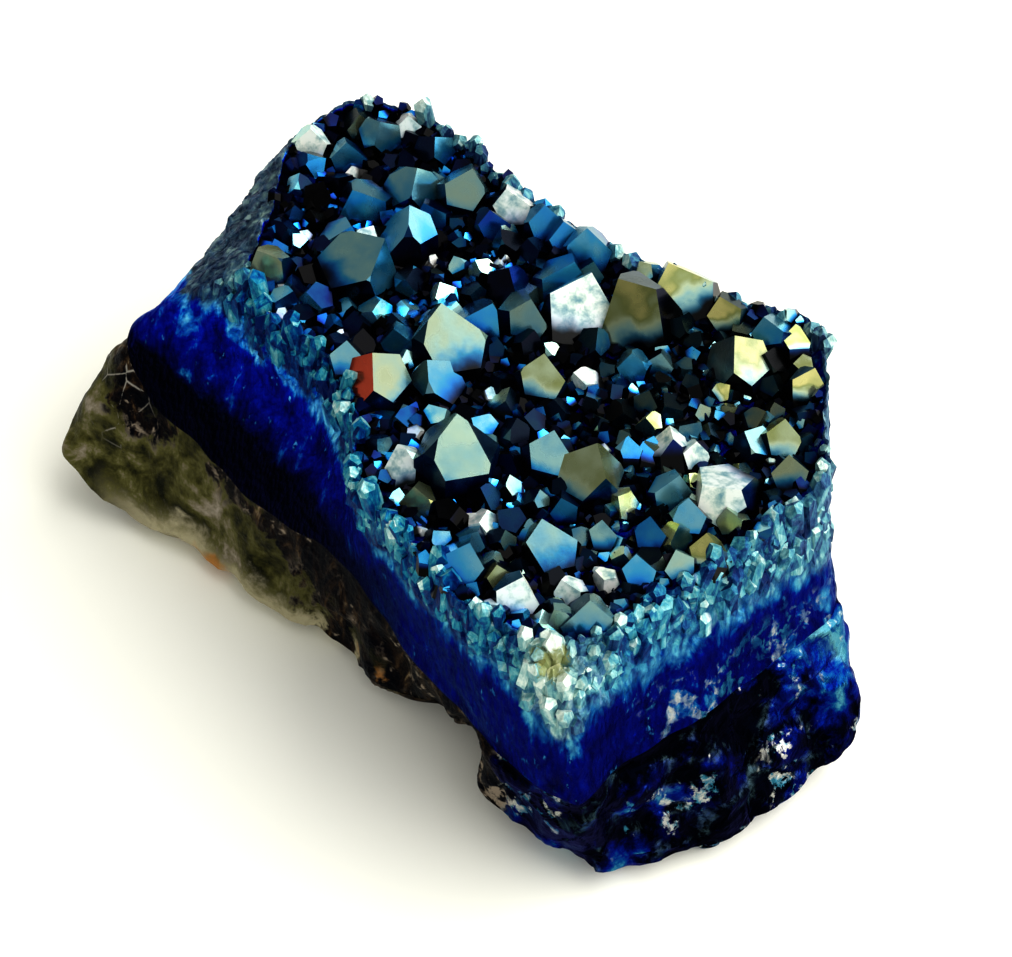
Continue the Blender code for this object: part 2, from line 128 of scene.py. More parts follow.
# How the quartz wall looks at each station: height in mm where the pale band of columns
# gives way to dark blue below, how pale the band is, and how grey.
WALL_LOOKS = (
    # Near corner and near end.
    (21.5, 0.9, 0.6), (24.6, 0.68, 0.35),
    (25.0, 0.55, 0.1), (23.9, 0.55, 0.15), (23.2, 0.5, 0.2), (23.1, 0.5, 0.3), (22.3, 0.5, 0.5),
    # Chamfered corner and back.
    (22.8, 0.45, 0.8), (23.0, 0.4, 0.8),
    (23.0, 0.4, 0.5), (23.0, 0.4, 0.4), (23.0, 0.4, 0.4), (23.0, 0.4, 0.4), (23.0, 0.4, 0.4),
    (23.0, 0.4, 0.4), (23.0, 0.4, 0.5), (23.0, 0.4, 0.6), (23.0, 0.45, 0.8),
    # Far end, scoop and notch.
    (24.0, 0.45, 1.0), (24.5, 0.45, 1.0), (25.0, 0.45, 1.0), (25.5, 0.45, 1.0), (27.0, 0.4, 0.9),
    (29.0, 0.35, 0.3), (28.0, 0.35, 0.0), (27.5, 0.38, 0.0), (27.0, 0.4, 0.0), (26.5, 0.42, 0.0),
    (26.0, 0.45, 0.0),
    # Long front wall.
    (25.5, 0.48, 0.0), (25.2, 0.5, 0.0), (25.0, 0.53, 0.0), (25.0, 0.55, 0.0), (25.0, 0.57, 0.05),
)

# How the rock looks at each station: share of bare olive slab, and share of blue coating.
ROCK_LOOKS = (
    (0.0, 1.0), (0.0, 1.0),
    (0.0, 1.0), (0.0, 1.0), (0.0, 1.0), (0.0, 1.0), (0.0, 0.9),
    (0.0, 0.6), (0.0, 0.4),
    (0.0, 0.3), (0.1, 0.2), (0.1, 0.2), (0.1, 0.2), (0.1, 0.2),
    (0.1, 0.2), (0.1, 0.2), (0.1, 0.2), (0.2, 0.2),
    (0.2, 0.2), (0.2, 0.2), (0.3, 0.1), (0.6, 0.0), (1.0, 0.0),
    (1.0, 0.0), (1.0, 0.0), (1.0, 0.0), (0.9, 0.0), (0.65, 0.0), (0.4, 0.05),
    (0.2, 0.1), (0.05, 0.1), (0.0, 0.1), (0.0, 0.25), (0.0, 0.8),
)

# The solid's own lumps, which the fine surfaces follow: amount and width, in mm.
LUMP_SEED = 3
ROCK_LUMPS = (1.1, 5.0)
WALL_LUMPS = (0.45, 4.0)
BED_LUMPS = (0.7, 4.0)
SEAM_DIP = 2.0
BED_DIP = 1.6
# The bed reaches its full depth this far inside the rim, in mm.
BED_SHELF = 3.0
# The rest face is set back under the belly by this share of the belly's height.
UNDERCUT = 0.9
# The long axis that the closed ends are drawn in toward, in mm.
SPINE_HALF_LENGTH = 22.0
SPINE_Y = 2.0
COARSE_COLUMNS = 3

# Rings of the rock from its rest face to its belly and on to the seam, of the wall from its
# foot to its shoulder and on to the rim, and of the bed and of the surfaces it grows from.
ROCK_ROWS = (12, 44)
WALL_ROWS = (28, 24)
BED_ROWS = 22
GROWTH_ROWS = 30
GROWTH_COLUMNS = 6
# The hidden faces between rock and quartz are drawn in by these shares.
UNDER_SHARES = (0.15, 0.4, 0.7, 1.0)
# Height over the band's foot, in mm, that the bed and the hidden underside of the wall count as.
UNDER_BAND = -9.0
# Widths of the finer broken faces, in shares of the coarse ones.
FINE_CHIPS = 0.45
SMALL_CHIPS = 0.2

# A rhombohedral face of quartz stands at this angle to the long axis of its crystal.
FACE_TO_AXIS = math.radians(38.2)
# How far the three smaller end faces are set back, as least and most shares of the width.
SMALL_FACE_SETBACK = (0.2, 0.42)
# How much further in the leading end face of a large point is cut, in the same shares.
LEAD_CUT = (0.04, 0.28)
# The most that a large point is turned from its face or ridge, in degrees.
LARGE_SWING = 18.0
TIP_HEIGHT = 0.75
ROOT_DEPTH = 0.55
# The near left corner of the block as a direction, in degrees from +X.
FACE_DIRECTION = -46.0
FACE, RIDGE = 0.0, 60.0

# Finish of a crystal: thickness of its coating from 0 to 1, which sets the colour from blue
# over teal and straw to gold and rust, its painted light, a brightness painted into its colour
# for how its faces are lit, and whether its faces are frosted white.
ROYAL = (0.3, 0.8, 0.0)
AZURE = (0.44, 0.9, 0.0)
TEAL = (0.5, 0.9, 0.0)
MOSS = (0.55, 0.5, 0.0)
PALE = (0.62, 0.85, 0.0)
STRAW = (0.72, 0.8, 0.0)
SAGE = (0.64, 0.45, 0.0)
OLIVE = (0.82, 0.7, 0.0)
GOLD = (0.9, 1.1, 0.0)
FROST = (0.62, 1.1, 1.0)
BRIGHT = (0.9, 0.75, 0.12)
RUST = 1.0

# Large points: x and y in mm, width across the flats in mm, tilt and the direction of that
# tilt in degrees, whether a face or a ridge is turned to the near left corner or how many
# degrees the face is turned away from it, and finish.
LARGE_POINTS = (
    (-20.0, 0.5, 7.5, 28, 50, RIDGE, TEAL),
    (-25.0, 3.0, 4.2, 26, 20, FACE, TEAL),
    (-19.0, 7.0, 5.5, 22, 140, RIDGE, TEAL),
    (-22.5, 4.4, 3.3, 30, 60, FACE, FROST),
    (-5.0, -0.5, 7.1, 12, 140, 14.0, SAGE),
    (-3.0, -4.5, 4.8, 6, -155, RIDGE, MOSS),
    (-6.8, -8.9, 5.8, 8, -150, 58.0, SAGE),
    (-11.0, -9.0, 4.0, 8, 120, FACE, PALE),
    (5.5, -10.5, 7.4, 8, 125, 16.0, PALE),
    (2.0, -14.0, 4.0, 30, -165, FACE, FROST),
    (6.0, -16.0, 3.3, 18, -115, FACE, OLIVE),
    (11.5, -4.0, 4.8, 18, 95, FACE, PALE),
    (16.0, -3.0, 5.9, 15, 120, RIDGE, OLIVE),
    (19.0, -11.5, 5.0, 14, 150, FACE, SAGE),
    (15.9, -11.2, 2.7, 17, 135, FACE, TEAL),
    (1.0, 11.5, 6.4, 16, 65, FACE, FROST),
    (5.5, 15.0, 7.5, 32, -128, FACE, OLIVE),
    (4.0, 3.0, 5.2, 14, 100, FACE, OLIVE),
    (17.2, 17.2, 6.2, 15, -176, 50.0, BRIGHT),
    (26.5, 4.5, 5.9, 36, -110, FACE, FROST),
    (7.5, 20.5, 5.7, 16, -140, FACE, GOLD),
    (12.0, 21.5, 3.7, 22, -118, FACE, GOLD),
    (17.5, 22.5, 4.2, 22, -155, FACE, TEAL),
    (24.0, 19.5, 3.7, 20, 30, FACE, GOLD),
    (20.0, 22.6, 3.5, 40, 137, FACE, GOLD),
    (19.0, 5.0, 3.8, 44, 143, RIDGE, FROST),
    (17.8, 3.5, 2.7, 34, 109, FACE, AZURE),
    (16.4, 2.2, 2.7, 27, 126, FACE, TEAL),
    (21.3, 6.1, 2.8, 6, 45, FACE, FROST),
    (24.5, 11.0, 3.8, 26, -135, RIDGE, PALE),
    (26.4, 12.8, 3.8, 12, 85, FACE, OLIVE),
    (29.7, 10.6, 3.7, 20, 170, FACE, STRAW),
    (22.5, 1.0, 4.0, 18, 30, FACE, AZURE),
    (26.0, 0.0, 3.7, 8, 145, FACE, TEAL),
    (24.5, -3.5, 3.5, 15, 140, FACE, AZURE),
    (26.5, -7.5, 3.7, 14, 150, FACE, TEAL),
    (21.4, -6.9, 2.7, 22, 130, FACE, TEAL),
    (29.0, 3.0, 3.0, 20, -130, FACE, STRAW),
    (30.0, -2.0, 3.3, 16, 160, FACE, GOLD),
    (29.2, -4.8, 2.8, 22, -161, FACE, PALE),
    (23.6, -13.6, 2.9, 27, -140, FACE, FROST),
    (20.5, -18.2, 4.2, 22, 30, FACE, FROST),
    (25.2, -16.6, 3.0, 23, -116, FACE, PALE),
    (17.7, -17.0, 2.9, 4, -114, FACE, OLIVE),
    (12.8, -15.9, 3.0, 17, 13, FACE, TEAL),
    (14.0, -18.8, 5.0, 14, 50, FACE, AZURE),
    (27.0, -15.5, 4.8, 8, -60, FACE, PALE),
    (-24.5, 13.0, 5.4, 10, 0, RIDGE, TEAL),
    (-23.3, 15.7, 3.3, 9, -108, FACE, MOSS),
    (-20.0, 16.0, 4.9, 14, 25, FACE, MOSS),
    (-20.0, 11.9, 3.5, 22, -109, FACE, AZURE),
    (-14.5, 15.0, 3.7, 12, -15, FACE, ROYAL),
    (-14.5, 18.3, 4.2, 12, -100, FACE, FROST),
    (-10.1, 17.8, 3.5, 11, 10, FACE, AZURE),
    (-7.3, 18.2, 3.5, 6, -66, FACE, AZURE),
    (-4.0, 18.5, 4.8, 10, -40, FACE, AZURE),
    (-3.5, 13.5, 5.1, 20, 10, FACE, TEAL),
    (-2.4, 16.4, 3.2, 21, 21, FACE, TEAL),
    (-6.0, 4.5, 5.1, 20, 30, FACE, TEAL),
    (-3.0, 7.5, 5.1, 22, 25, FACE, MOSS),
    (-10.0, -3.0, 3.7, 14, -80, FACE, TEAL),
    (-26.5, 8.0, 5.4, 26, -75, FACE, TEAL),
    (-26.5, -5.0, 4.2, 26, -114, FACE, STRAW),
    (-33.0, 12.0, 4.0, 18, -20, FACE, AZURE),
    (-33.0, 16.5, 4.2, 20, -25, RIDGE, TEAL),
    (-27.0, 19.0, 4.0, 12, -40, RIDGE, TEAL),
    (-31.8, 19.6, 3.2, 12, -38, FACE, FROST),
    (-37.5, 10.5, 3.7, 16, -30, FACE, FROST),
    (-7.5, 10.0, 4.1, 10, -45, RIDGE, ROYAL),
    (9.3, 10.6, 3.3, 15, -73, FACE, TEAL),
    (10.9, 12.5, 3.1, 12, -39, FACE, TEAL),
    (16.3, -6.8, 3.1, 18, -96, FACE, ROYAL),
    (-36.6, 16.6, 3.4, 19, -36, FACE, OLIVE),
)
# The one face with a thick rusty film: its crystal's number, where the face looks, and its
# painted light.
RUST_POINT = 6
RUST_TOWARD = Vector((-0.15, -0.8, 0.58))
RUST_PAINTED_LIGHT = 1.1
# Painted shade: the upright sides of a crystal keep these shares of its film and painted light,
# so they are painted darker and bluer.
SHADED_SIDE_FILM = 0.45
SIDE_PAINTED_LIGHT = 0.35
# Film goes no further than this on a face that isn't rusty, and one past RUSTY_FILM is rusty.
MOST_FILM = 0.92
RUSTY_FILM = 0.97

# Painted light and shade: each end face takes one of these shares of its crystal's painted
# light, at random, and a dim one has a thinner film as well. The leading face of a large point
# is always painted lit.
PAINTED_LIGHT_SHARES = (1.25, 1.0, 0.8, 0.3, 0.12)
DIM_PAINTED_SHARE = 0.5
DIM_FILM = 0.62
# How much film and painted light differ at random from face to face of one crystal.
FILM_SPREAD = 0.07
PAINTED_LIGHT_SPREAD = (0.85, 1.15)
# A face is the leading one if it looks toward the near left corner at least this much.
LEADING = 0.6
# Share of the other end faces of a frosted crystal that are frosted as well.
BROKEN_SHARE = 0.45
# Large points stand up from the bed by this share of their width.
LARGE_LIFT = 0.12
# Places on the bed this near the rim, in mm, count as rimward: paler, like the wall's top, and
# with less painted shade.
RIMWARD_REACH = 3.5
# The middle of a wall column lies this far inside the wall, in mm.
WALL_COLUMN_SINK = 0.45
# No medium or tiny point stands nearer to the rim than this, in mm.
MEDIUM_INSET = 1.4
TINY_INSET = 1.0
# Nor does one stand nearer to the axis of a large point than this share of its width.
MEDIUM_CROWDING = 0.5
TINY_CROWDING = 0.4
# Film of the small points at the far left and at the right, and how far up it starts.
MEDIUM_FILM = (0.33, 0.74, -0.05)
TINY_FILM = (0.2, 0.44, -0.25)
# Most small crystals to a square metre; the spacing keeps them well under it.
GROWTH_DENSITY = 4.0e6
# The direction across the block in which that film thickens, and from where to where, in m.
ACROSS = (0.719, 0.695, 0.0)
FILM_ZONE = (-0.018, 0.034)
OLIVE_RIM_ZONE = (0.016, 0.03)
# Painted light: the small points are painted brighter toward the far left end, over this range.
PAINTED_LIGHT_LEFT_ZONE = (-0.018, 0.0)
# One small crystal in twenty-five is frosted: those whose chance is above this.
FROSTED_FROM = 0.96
# A face whose normal points up by more than this is an end face, not an upright side.
END_FACE_SLOPE = 0.2
# How unevenly the end faces are cut, in shares of the width.
LARGE_UNEVEN = 0.17
SMALL_UNEVEN = 0.12
MOST_SMALL_LEAD = 0.2

# Colours as places from 0 to 1 and linear red, green and blue.

# Metal film from thin to thick: blue, teal, pale, straw, olive, gold and rust.
COAT_COLOURS = (
    (0.0, (0.0, 0.001, 0.008)),
    (0.09, (0.001, 0.006, 0.09)),
    (0.2, (0.003, 0.04, 0.3)),
    (0.34, (0.01, 0.16, 0.45)),
    (0.46, (0.04, 0.25, 0.41)),
    (0.6, (0.25, 0.42, 0.4)),
    (0.73, (0.4, 0.47, 0.31)),
    (0.84, (0.23, 0.26, 0.1)),
    (0.93, (0.52, 0.48, 0.2)),
    (1.0, (0.3, 0.035, 0.01)),
)

# A broken, frosted face.
FROST_COLOURS = (
    (0.3, (0.2, 0.38, 0.45)),
    (0.4, (0.45, 0.6, 0.6)),
    (0.48, (0.75, 0.83, 0.78)),
    (0.56, (1.0, 1.0, 0.95)),
)

# The pale band of columns, from its grooves to its tips.
BAND_COLOURS = (
    (0.34, (0.001, 0.012, 0.09)),
    (0.44, (0.002, 0.055, 0.2)),
    (0.52, (0.01, 0.16, 0.28)),
    (0.6, (0.05, 0.3, 0.37)),
    (0.7, (0.22, 0.47, 0.48)),
    (0.86, (0.75, 0.87, 0.8)),
)

# The same band where it is weathered grey.
GREY_COLOURS = (
    (0.36, (0.03, 0.045, 0.04)),
    (0.5, (0.15, 0.2, 0.165)),
    (0.61, (0.31, 0.37, 0.3)),
    (0.8, (0.7, 0.74, 0.62)),
)

# The dark blue foot of the wall, with turquoise streaks.
DEEP_COLOURS = (
    (0.36, (0.0, 0.0008, 0.038)),
    (0.48, (0.0, 0.003, 0.125)),
    (0.6, (0.001, 0.008, 0.2)),
    (0.66, (0.008, 0.12, 0.34)),
    (0.76, (0.12, 0.4, 0.52)),
)

# Coated rock at the near end.
ROCK_COLOURS = (
    (0.48, (0.0, 0.0003, 0.002)),
    (0.54, (0.0005, 0.002, 0.035)),
    (0.61, (0.001, 0.01, 0.14)),
    (0.67, (0.004, 0.06, 0.18)),
    (0.75, (0.07, 0.24, 0.3)),
)

# Bare brown-black rock along the front and the back.
BROWN_COLOURS = (
    (0.44, (0.0008, 0.0005, 0.0003)),
    (0.55, (0.01, 0.0055, 0.002)),
    (0.63, (0.055, 0.034, 0.015)),
    (0.73, (0.3, 0.23, 0.13)),
)

# The olive-grey slab face at the far left.
SLAB_COLOURS = (
    (0.38, (0.012, 0.012, 0.002)),
    (0.47, (0.055, 0.052, 0.013)),
    (0.54, (0.11, 0.105, 0.035)),
    (0.6, (0.2, 0.175, 0.12)),
    (0.7, (0.38, 0.34, 0.28)),
)

# Chips and worn edges of the rock: turquoise and pale where it is coated, beige elsewhere.
CHIP_BLUE = (0.04, 0.17, 0.24)
CHIP_PALE = (0.45, 0.45, 0.4)
CHIP_BEIGE = (0.3, 0.25, 0.19)
WORN_BLUE = (0.2, 0.34, 0.38)
CREAM = (0.46, 0.42, 0.28)
ORANGE = (0.5, 0.24, 0.07)
CRACK = (0.4, 0.38, 0.33)
STREAK_BLUE = (0.1, 0.38, 0.55)
# Painted shade multiplied into the grooves between the wall's columns.
GROOVE_SHADE = (0.25, 0.35, 0.6)
# Chips of the rock and the patches that hold them, as noise scales.
CHIP_SCALE = 700.0
CHIP_ZONE_SCALE = 190.0
# Where in the noise a chip starts and is full, and how much of what is under it it hides.
CHIP_EDGE = (0.5, 0.56)
CHIP_COVER = 0.85
# Where along X the near end starts, and where along Y the near left corner is left, in metres.
NEAR_END_ZONE = (0.018, 0.026)
CORNER_ZONE = (-0.0165, -0.0125)
# Olive stain on the wall at the near left corner: its place, and the radii in metres where it
# starts and is full, and its colour.
STAIN_PLACE = (0.0286, -0.0225, 0.0300)
STAIN_EDGE = (0.0021, 0.0011)
STAIN_COLOUR = (0.32, 0.31, 0.08)


def smoothstep(value):
    share = np.clip(value, 0.0, 1.0)
    return share * share * (3.0 - 2.0 * share)


def ring_points(level, columns):
    """Points of one level all the way round, with columns between the stations."""
    points = np.array([station[level] for station in STATIONS])
    steps = np.arange(columns)[:, None] / columns
    before, start = np.roll(points, 1, 0)[:, None], points[:, None]
    end, after = np.roll(points, -1, 0)[:, None], np.roll(points, -2, 0)[:, None]
    ring = 0.5 * (
        2 * start
        + (end - before) * steps
        + (2 * before - 5 * start + 4 * end - after) * steps**2
        + (3 * start - before - 3 * end + after) * steps**3
    )
    return ring.reshape(-1, 3)


def over_rows(table, column, columns, rows):
    """One column of a table of looks, spread evenly between the stations, for each ring."""
    values = np.array([row[column] for row in table])
    steps = np.arange(columns)[None, :] / columns
    ring = values[:, None] * (1 - steps) + np.roll(values, -1)[:, None] * steps
    return np.tile(ring.reshape(-1), rows)


def lumpy(points, lumps, scale=1.0):
    """The points moved by the solid's smooth noise."""
    amount, size = lumps
    moved = [noise.noise_vector(Vector(point) / size) for point in points.reshape(-1, 3)]
    return points + amount * scale * np.array(moved).reshape(points.shape)


def blended(first, second, shares):
    """Rings between two rings, one for each share."""
    return [first * (1 - share) + second * share for share in shares]


def drawn_in(ring, share):
    """A ring moved level by a share of its way to the long axis."""
    inner = ring.copy()
    inner[:, 0] += share * (np.clip(ring[:, 0], -SPINE_HALF_LENGTH, SPINE_HALF_LENGTH) - ring[:, 0])
    inner[:, 1] += share * (SPINE_Y - ring[:, 1])
    return inner


def surface_normals(grid):
    """Outward normals of a grid of rings."""
    along = np.roll(grid, -1, 1) - np.roll(grid, 1, 1)
    up = np.gradient(grid, axis=0)
    normals = np.cross(along, up)
    return normals / np.maximum(np.linalg.norm(normals, axis=2, keepdims=True), 1e-9)


def chips(points, size, stretch=(1.0, 1.0, 1.0)):
    """Broken faces: for each place a flat, sloping offset, distance to the face's edge, and
    the level of the face, from -1 to 1."""
    offsets = np.empty(len(points))
    edges = np.empty(len(points))
    levels = np.empty(len(points))
    scale = Vector([1.0 / (size * axis) for axis in stretch])
    for index, point in enumerate(points):
        place = Vector(point) * scale
        distances, seeds = noise.voronoi(place)
        slope = noise.cell_vector(seeds[0] * 17.0) - Vector((0.5, 0.5, 0.5))
        level = noise.cell(seeds[0] * 11.0)
        tipped = 2.0 * slope.dot(place - seeds[0]) + 0.5 * level
        edges[index] = distances[1] - distances[0]
        offsets[index] = max(-0.9, min(0.35, tipped)) * (0.3 + 0.7 * min(1.0, 5.0 * edges[index]))
        levels[index] = level
    return offsets, edges, levels


def fractal(points, size, octaves=4):
    return np.array([
        noise.fractal(Vector(point) / size, 1.0, 2.0, octaves) for point in points
    ])


def framed(points):
    """Outline coordinates in mm turned into the frame's metres."""
    return (np.asarray(points) - OUTLINE_MIDDLE) * MM


def new_piece(name, mesh, material=None):
    piece = bpy.data.objects.new(name, mesh)
    bpy.context.scene.collection.objects.link(piece)
    if material:
        mesh.materials.clear()
        mesh.materials.append(material)
    return piece


def store(mesh, name, kind, domain, values):
    layer = mesh.attributes.new(name, kind, domain)
    layer.data.foreach_set("value", np.asarray(values, dtype=np.float32).reshape(-1))


def grid_faces(rows, columns):
    """Quads between rings of vertices, numbered ring by ring."""
    numbers = np.arange(rows * columns).reshape(rows, columns)
    after = np.roll(numbers, -1, 1)
    quads = np.stack((numbers[:-1], after[:-1], after[1:], numbers[1:]), 2)
    return quads.reshape(-1, 4).tolist()


def open_surface(name, grid, layers):
    """An open surface over rings, for crystals to grow on."""
    mesh = bpy.data.meshes.new(name)
    mesh.from_pydata(framed(grid.reshape(-1, 3)).tolist(), [], grid_faces(*grid.shape[:2]))
    for layer, values in layers.items():
        store(mesh, layer, "FLOAT", "POINT", values)
    return mesh


def mesh_from_rings(name, rings, layers):
    """A closed skin over rings of equal length, whose first and last lie on the long axis."""
    mesh = open_surface(name, np.array(rings), layers)
    work = bmesh.new()
    work.from_mesh(mesh)
    bmesh.ops.remove_doubles(work, verts=work.verts, dist=1e-6)
    bmesh.ops.recalc_face_normals(work, faces=work.faces)
    work.to_mesh(mesh)
    work.free()
    mesh.validate()
    return mesh


def height_within(edge, x, y):
    """Height that the edge's points give each place inside it, the nearer ones more."""
    away = (edge[None, :, 0] - x[:, None]) ** 2 + (edge[None, :, 1] - y[:, None]) ** 2
    weights = 1.0 / np.maximum(away, 1e-4)
    return (weights * edge[None, :, 2]).sum(1) / weights.sum(1), np.sqrt(away.min(1))


def bed_ring(ring, edge, share, dip, scale=1.0):
    """A ring on the dished bed, drawn in from the edge."""
    inner = drawn_in(ring, share)
    heights, away = height_within(edge, inner[:, 0], inner[:, 1])
    depth = smoothstep(away / BED_SHELF)
    inner[:, 2] = heights - dip * depth
    moved = lumpy(inner, BED_LUMPS, scale)
    return inner + (moved - inner) * depth[:, None]


# Node trees.


def connect(tree, value, socket):
    if isinstance(value, bpy.types.NodeSocket):
        tree.links.new(value, socket)
    else:
        socket.default_value = value


def add_node(tree, kind, sockets=None, **settings):
    made = tree.nodes.new(kind)
    for name, value in settings.items():
        setattr(made, name, value)
    for name, value in (sockets or {}).items():
        connect(tree, value, made.inputs[name])
    return made


def noise_value(tree, vector, scale, detail=4.0, roughness=0.55, distortion=0.0):
    sockets = {
        "Vector": vector,
        "Scale": scale,
        "Detail": detail,
        "Roughness": roughness,
        "Distortion": distortion,
    }
    return add_node(tree, "ShaderNodeTexNoise", sockets).outputs["Fac"]


def cells(tree, vector, scale, output="Color", feature="F1"):
    made = add_node(
        tree, "ShaderNodeTexVoronoi", {"Vector": vector, "Scale": scale}, feature=feature
    )
    return made.outputs[output]


def stretched(tree, vector, factors, turn=(0.0, 0.0, 0.0)):
    sockets = {"Vector": vector, "Scale": factors, "Rotation": turn}
    return add_node(tree, "ShaderNodeMapping", sockets).outputs["Vector"]


def ramp(tree, factor, stops):
    made = add_node(tree, "ShaderNodeValToRGB", {"Fac": factor})
    band = made.color_ramp
    while len(band.elements) < len(stops):
        band.elements.new(0.5)
    for element, (place, colour) in zip(band.elements, stops):
        element.position = place
        element.color = (*colour, 1.0)
    return made.outputs["Color"]


def mixed(tree, factor, first, second, blend="MIX"):
    made = add_node(tree, "ShaderNodeMix", data_type="RGBA", blend_type=blend)
    for value, index in ((factor, 0), (first, 6), (second, 7)):
        if isinstance(value, tuple):
            value = (*value, 1.0)
        connect(tree, value, made.inputs[index])
    return made.outputs[2]


def maths(tree, operation, first, second=0.5, clamp=False):
    made = add_node(tree, "ShaderNodeMath", operation=operation, use_clamp=clamp)
    connect(tree, first, made.inputs[0])
    connect(tree, second, made.inputs[1])
    return made.outputs[0]


def times(tree, first, second):
    return maths(tree, "MULTIPLY", first, second)


def plus(tree, first, second):
    return maths(tree, "ADD", first, second)


def times_plus(tree, first, second, third):
    """The first value times the second, plus the third."""
    made = maths(tree, "MULTIPLY_ADD", first, second)
    connect(tree, third, made.node.inputs[2])
    return made


def tinted(tree, first, second):
    return mixed(tree, 1.0, first, second, "MULTIPLY")


def ranged(tree, value, low, high, new_low=0.0, new_high=1.0):
    sockets = {
        "Value": value,
        "From Min": low,
        "From Max": high,
        "To Min": new_low,
        "To Max": new_high,
    }
    made = add_node(tree, "ShaderNodeMapRange", sockets, interpolation_type="SMOOTHSTEP")
    return made.outputs["Result"]


def vector_value(tree, operation, first, second):
    made = add_node(tree, "ShaderNodeVectorMath", operation=operation)
    connect(tree, first, made.inputs[0])
    connect(tree, second, made.inputs[1])
    return made.outputs["Value"]


def layer_value(tree, name):
    return add_node(tree, "ShaderNodeAttribute", attribute_name=name).outputs["Fac"]


def new_group(name, inputs, outputs):
    """A shader node group with float, colour and vector sockets, and its two end nodes."""
    group = bpy.data.node_groups.new(name, "ShaderNodeTree")
    for label, kind, default in inputs:
        socket = group.interface.new_socket(label, in_out="INPUT", socket_type=kind)
        if default is not None:
            socket.default_value = default
    for label, kind in outputs:
        group.interface.new_socket(label, in_out="OUTPUT", socket_type=kind)
    start = group.nodes.new("NodeGroupInput")
    end = group.nodes.new("NodeGroupOutput")
    return group, start.outputs, end.inputs


def use_group(tree, group, sockets):
    made = add_node(tree, "ShaderNodeGroup", node_tree=group)
    for name, value in sockets.items():
        connect(tree, value, made.inputs[name])
    return made.outputs


FLOAT, COLOUR, VECTOR = "NodeSocketFloat", "NodeSocketColor", "NodeSocketVector"


def mottle_group():
    """Patches with soft edges, from 0 to 1."""
    name = "mottle"
    if name in bpy.data.node_groups:
        return bpy.data.node_groups[name]
    group, given, out = new_group(
        name,
        (
            ("Vector", VECTOR, None),
            ("Scale", FLOAT, 300.0),
            ("Low", FLOAT, 0.45),
            ("High", FLOAT, 0.6),
        ),
        (("Mask", FLOAT),),
    )
    patches = noise_value(group, given["Vector"], given["Scale"], 5.0, 0.6, 0.4)
    group.links.new(ranged(group, patches, given["Low"], given["High"]), out["Mask"])
    return group


def mottled_mask(tree, place, scale, low, high):
    sockets = {"Vector": place, "Scale": scale, "Low": low, "High": high}
    return use_group(tree, mottle_group(), sockets)["Mask"]


def grain_group():
    """Fine broken grain for bump."""
    name = "broken_grain"
    if name in bpy.data.node_groups:
        return bpy.data.node_groups[name]
    group, given, out = new_group(
        name,
        (("Vector", VECTOR, None), ("Scale", FLOAT, 1500.0), ("Chips", FLOAT, 0.5)),
        (("Height", FLOAT),),
    )
    fine = noise_value(group, given["Vector"], given["Scale"], 6.0, 0.65)
    flakes = cells(group, given["Vector"], given["Scale"], "Distance")
    group.links.new(times_plus(group, flakes, given["Chips"], fine), out["Height"])
    return group


def coat_group():
    """Metal film on quartz: deep blue where it starts, then teal, straw, gold and rust.

    Film is its thickness, Rise is how far up the crystal a place lies, Painted Light the
    brightness painted into its colour for how its face is lit, and Frost whether the face is
    broken and white. Low down at the root its colour is painted dark as painted shade.
    """
    name = "aura_coat"
    if name in bpy.data.node_groups:
        return bpy.data.node_groups[name]
    group, given, out = new_group(
        name,
        (
            ("Vector", VECTOR, None),
            ("Film", FLOAT, 0.5),
            ("Rise", FLOAT, 1.0),
            ("Gleam", FLOAT, 1.0),
            ("Frost", FLOAT, 0.0),
            ("Cloud Scale", FLOAT, 350.0),
        ),
        (("Color", COLOUR), ("Roughness", FLOAT), ("Metallic", FLOAT)),
    )
    cloud = noise_value(group, given["Vector"], given["Cloud Scale"], 3.0, 0.5)
    uneven = ranged(group, cloud, 0.3, 0.7, -0.05, 0.05)
    climb = plus(group, given["Rise"], times(group, uneven, 2.0))
    # Painted shade: the colour goes dark low down at the crystal's root, where it meets the bed.
    foot = ranged(group, climb, -0.15, 0.2)
    rise = ranged(group, climb, -0.1, 0.42, 0.5, 1.0)
    rusty = maths(group, "GREATER_THAN", given["Film"], RUSTY_FILM)
    rise = maths(group, "MAXIMUM", rise, rusty)
    film = plus(group, given["Film"], uneven)
    film = maths(group, "MULTIPLY", film, rise, clamp=True)
    film = maths(group, "MAXIMUM", maths(group, "MINIMUM", film, MOST_FILM), rusty)
    coat = ramp(group, film, COAT_COLOURS)
    # The painted light, and the painted shade at the root, are multiplied into the coat's colour.
    lit = tinted(group, coat, times(group, given["Gleam"], foot))
    break_up = noise_value(group, given["Vector"], 800.0, 7.0, 0.6, 0.2)
    broken = ramp(group, break_up, FROST_COLOURS)
    broken = mixed(group, 0.35, broken, tinted(group, broken, lit))
    frosted = times(group, given["Frost"], foot)
    group.links.new(mixed(group, frosted, lit, broken), out["Color"])
    matt = ranged(group, cloud, 0.35, 0.75, 0.2, 0.32)
    group.links.new(times_plus(group, given["Frost"], 0.2, matt), out["Roughness"])
    group.links.new(times_plus(group, given["Frost"], -0.5, 0.82), out["Metallic"])
    return group


def new_material(name):
    material = bpy.data.materials.new(name)
    material.use_nodes = True
    tree = material.node_tree
    shader = tree.nodes["Principled BSDF"]
    place = add_node(tree, "ShaderNodeTexCoord").outputs["Object"]
    return material, tree, shader, place


def bump(tree, shader, height, strength, distance):
    sockets = {"Height": height, "Strength": strength, "Distance": distance}
    made = add_node(tree, "ShaderNodeBump", sockets)
    tree.links.new(made.outputs["Normal"], shader.inputs["Normal"])


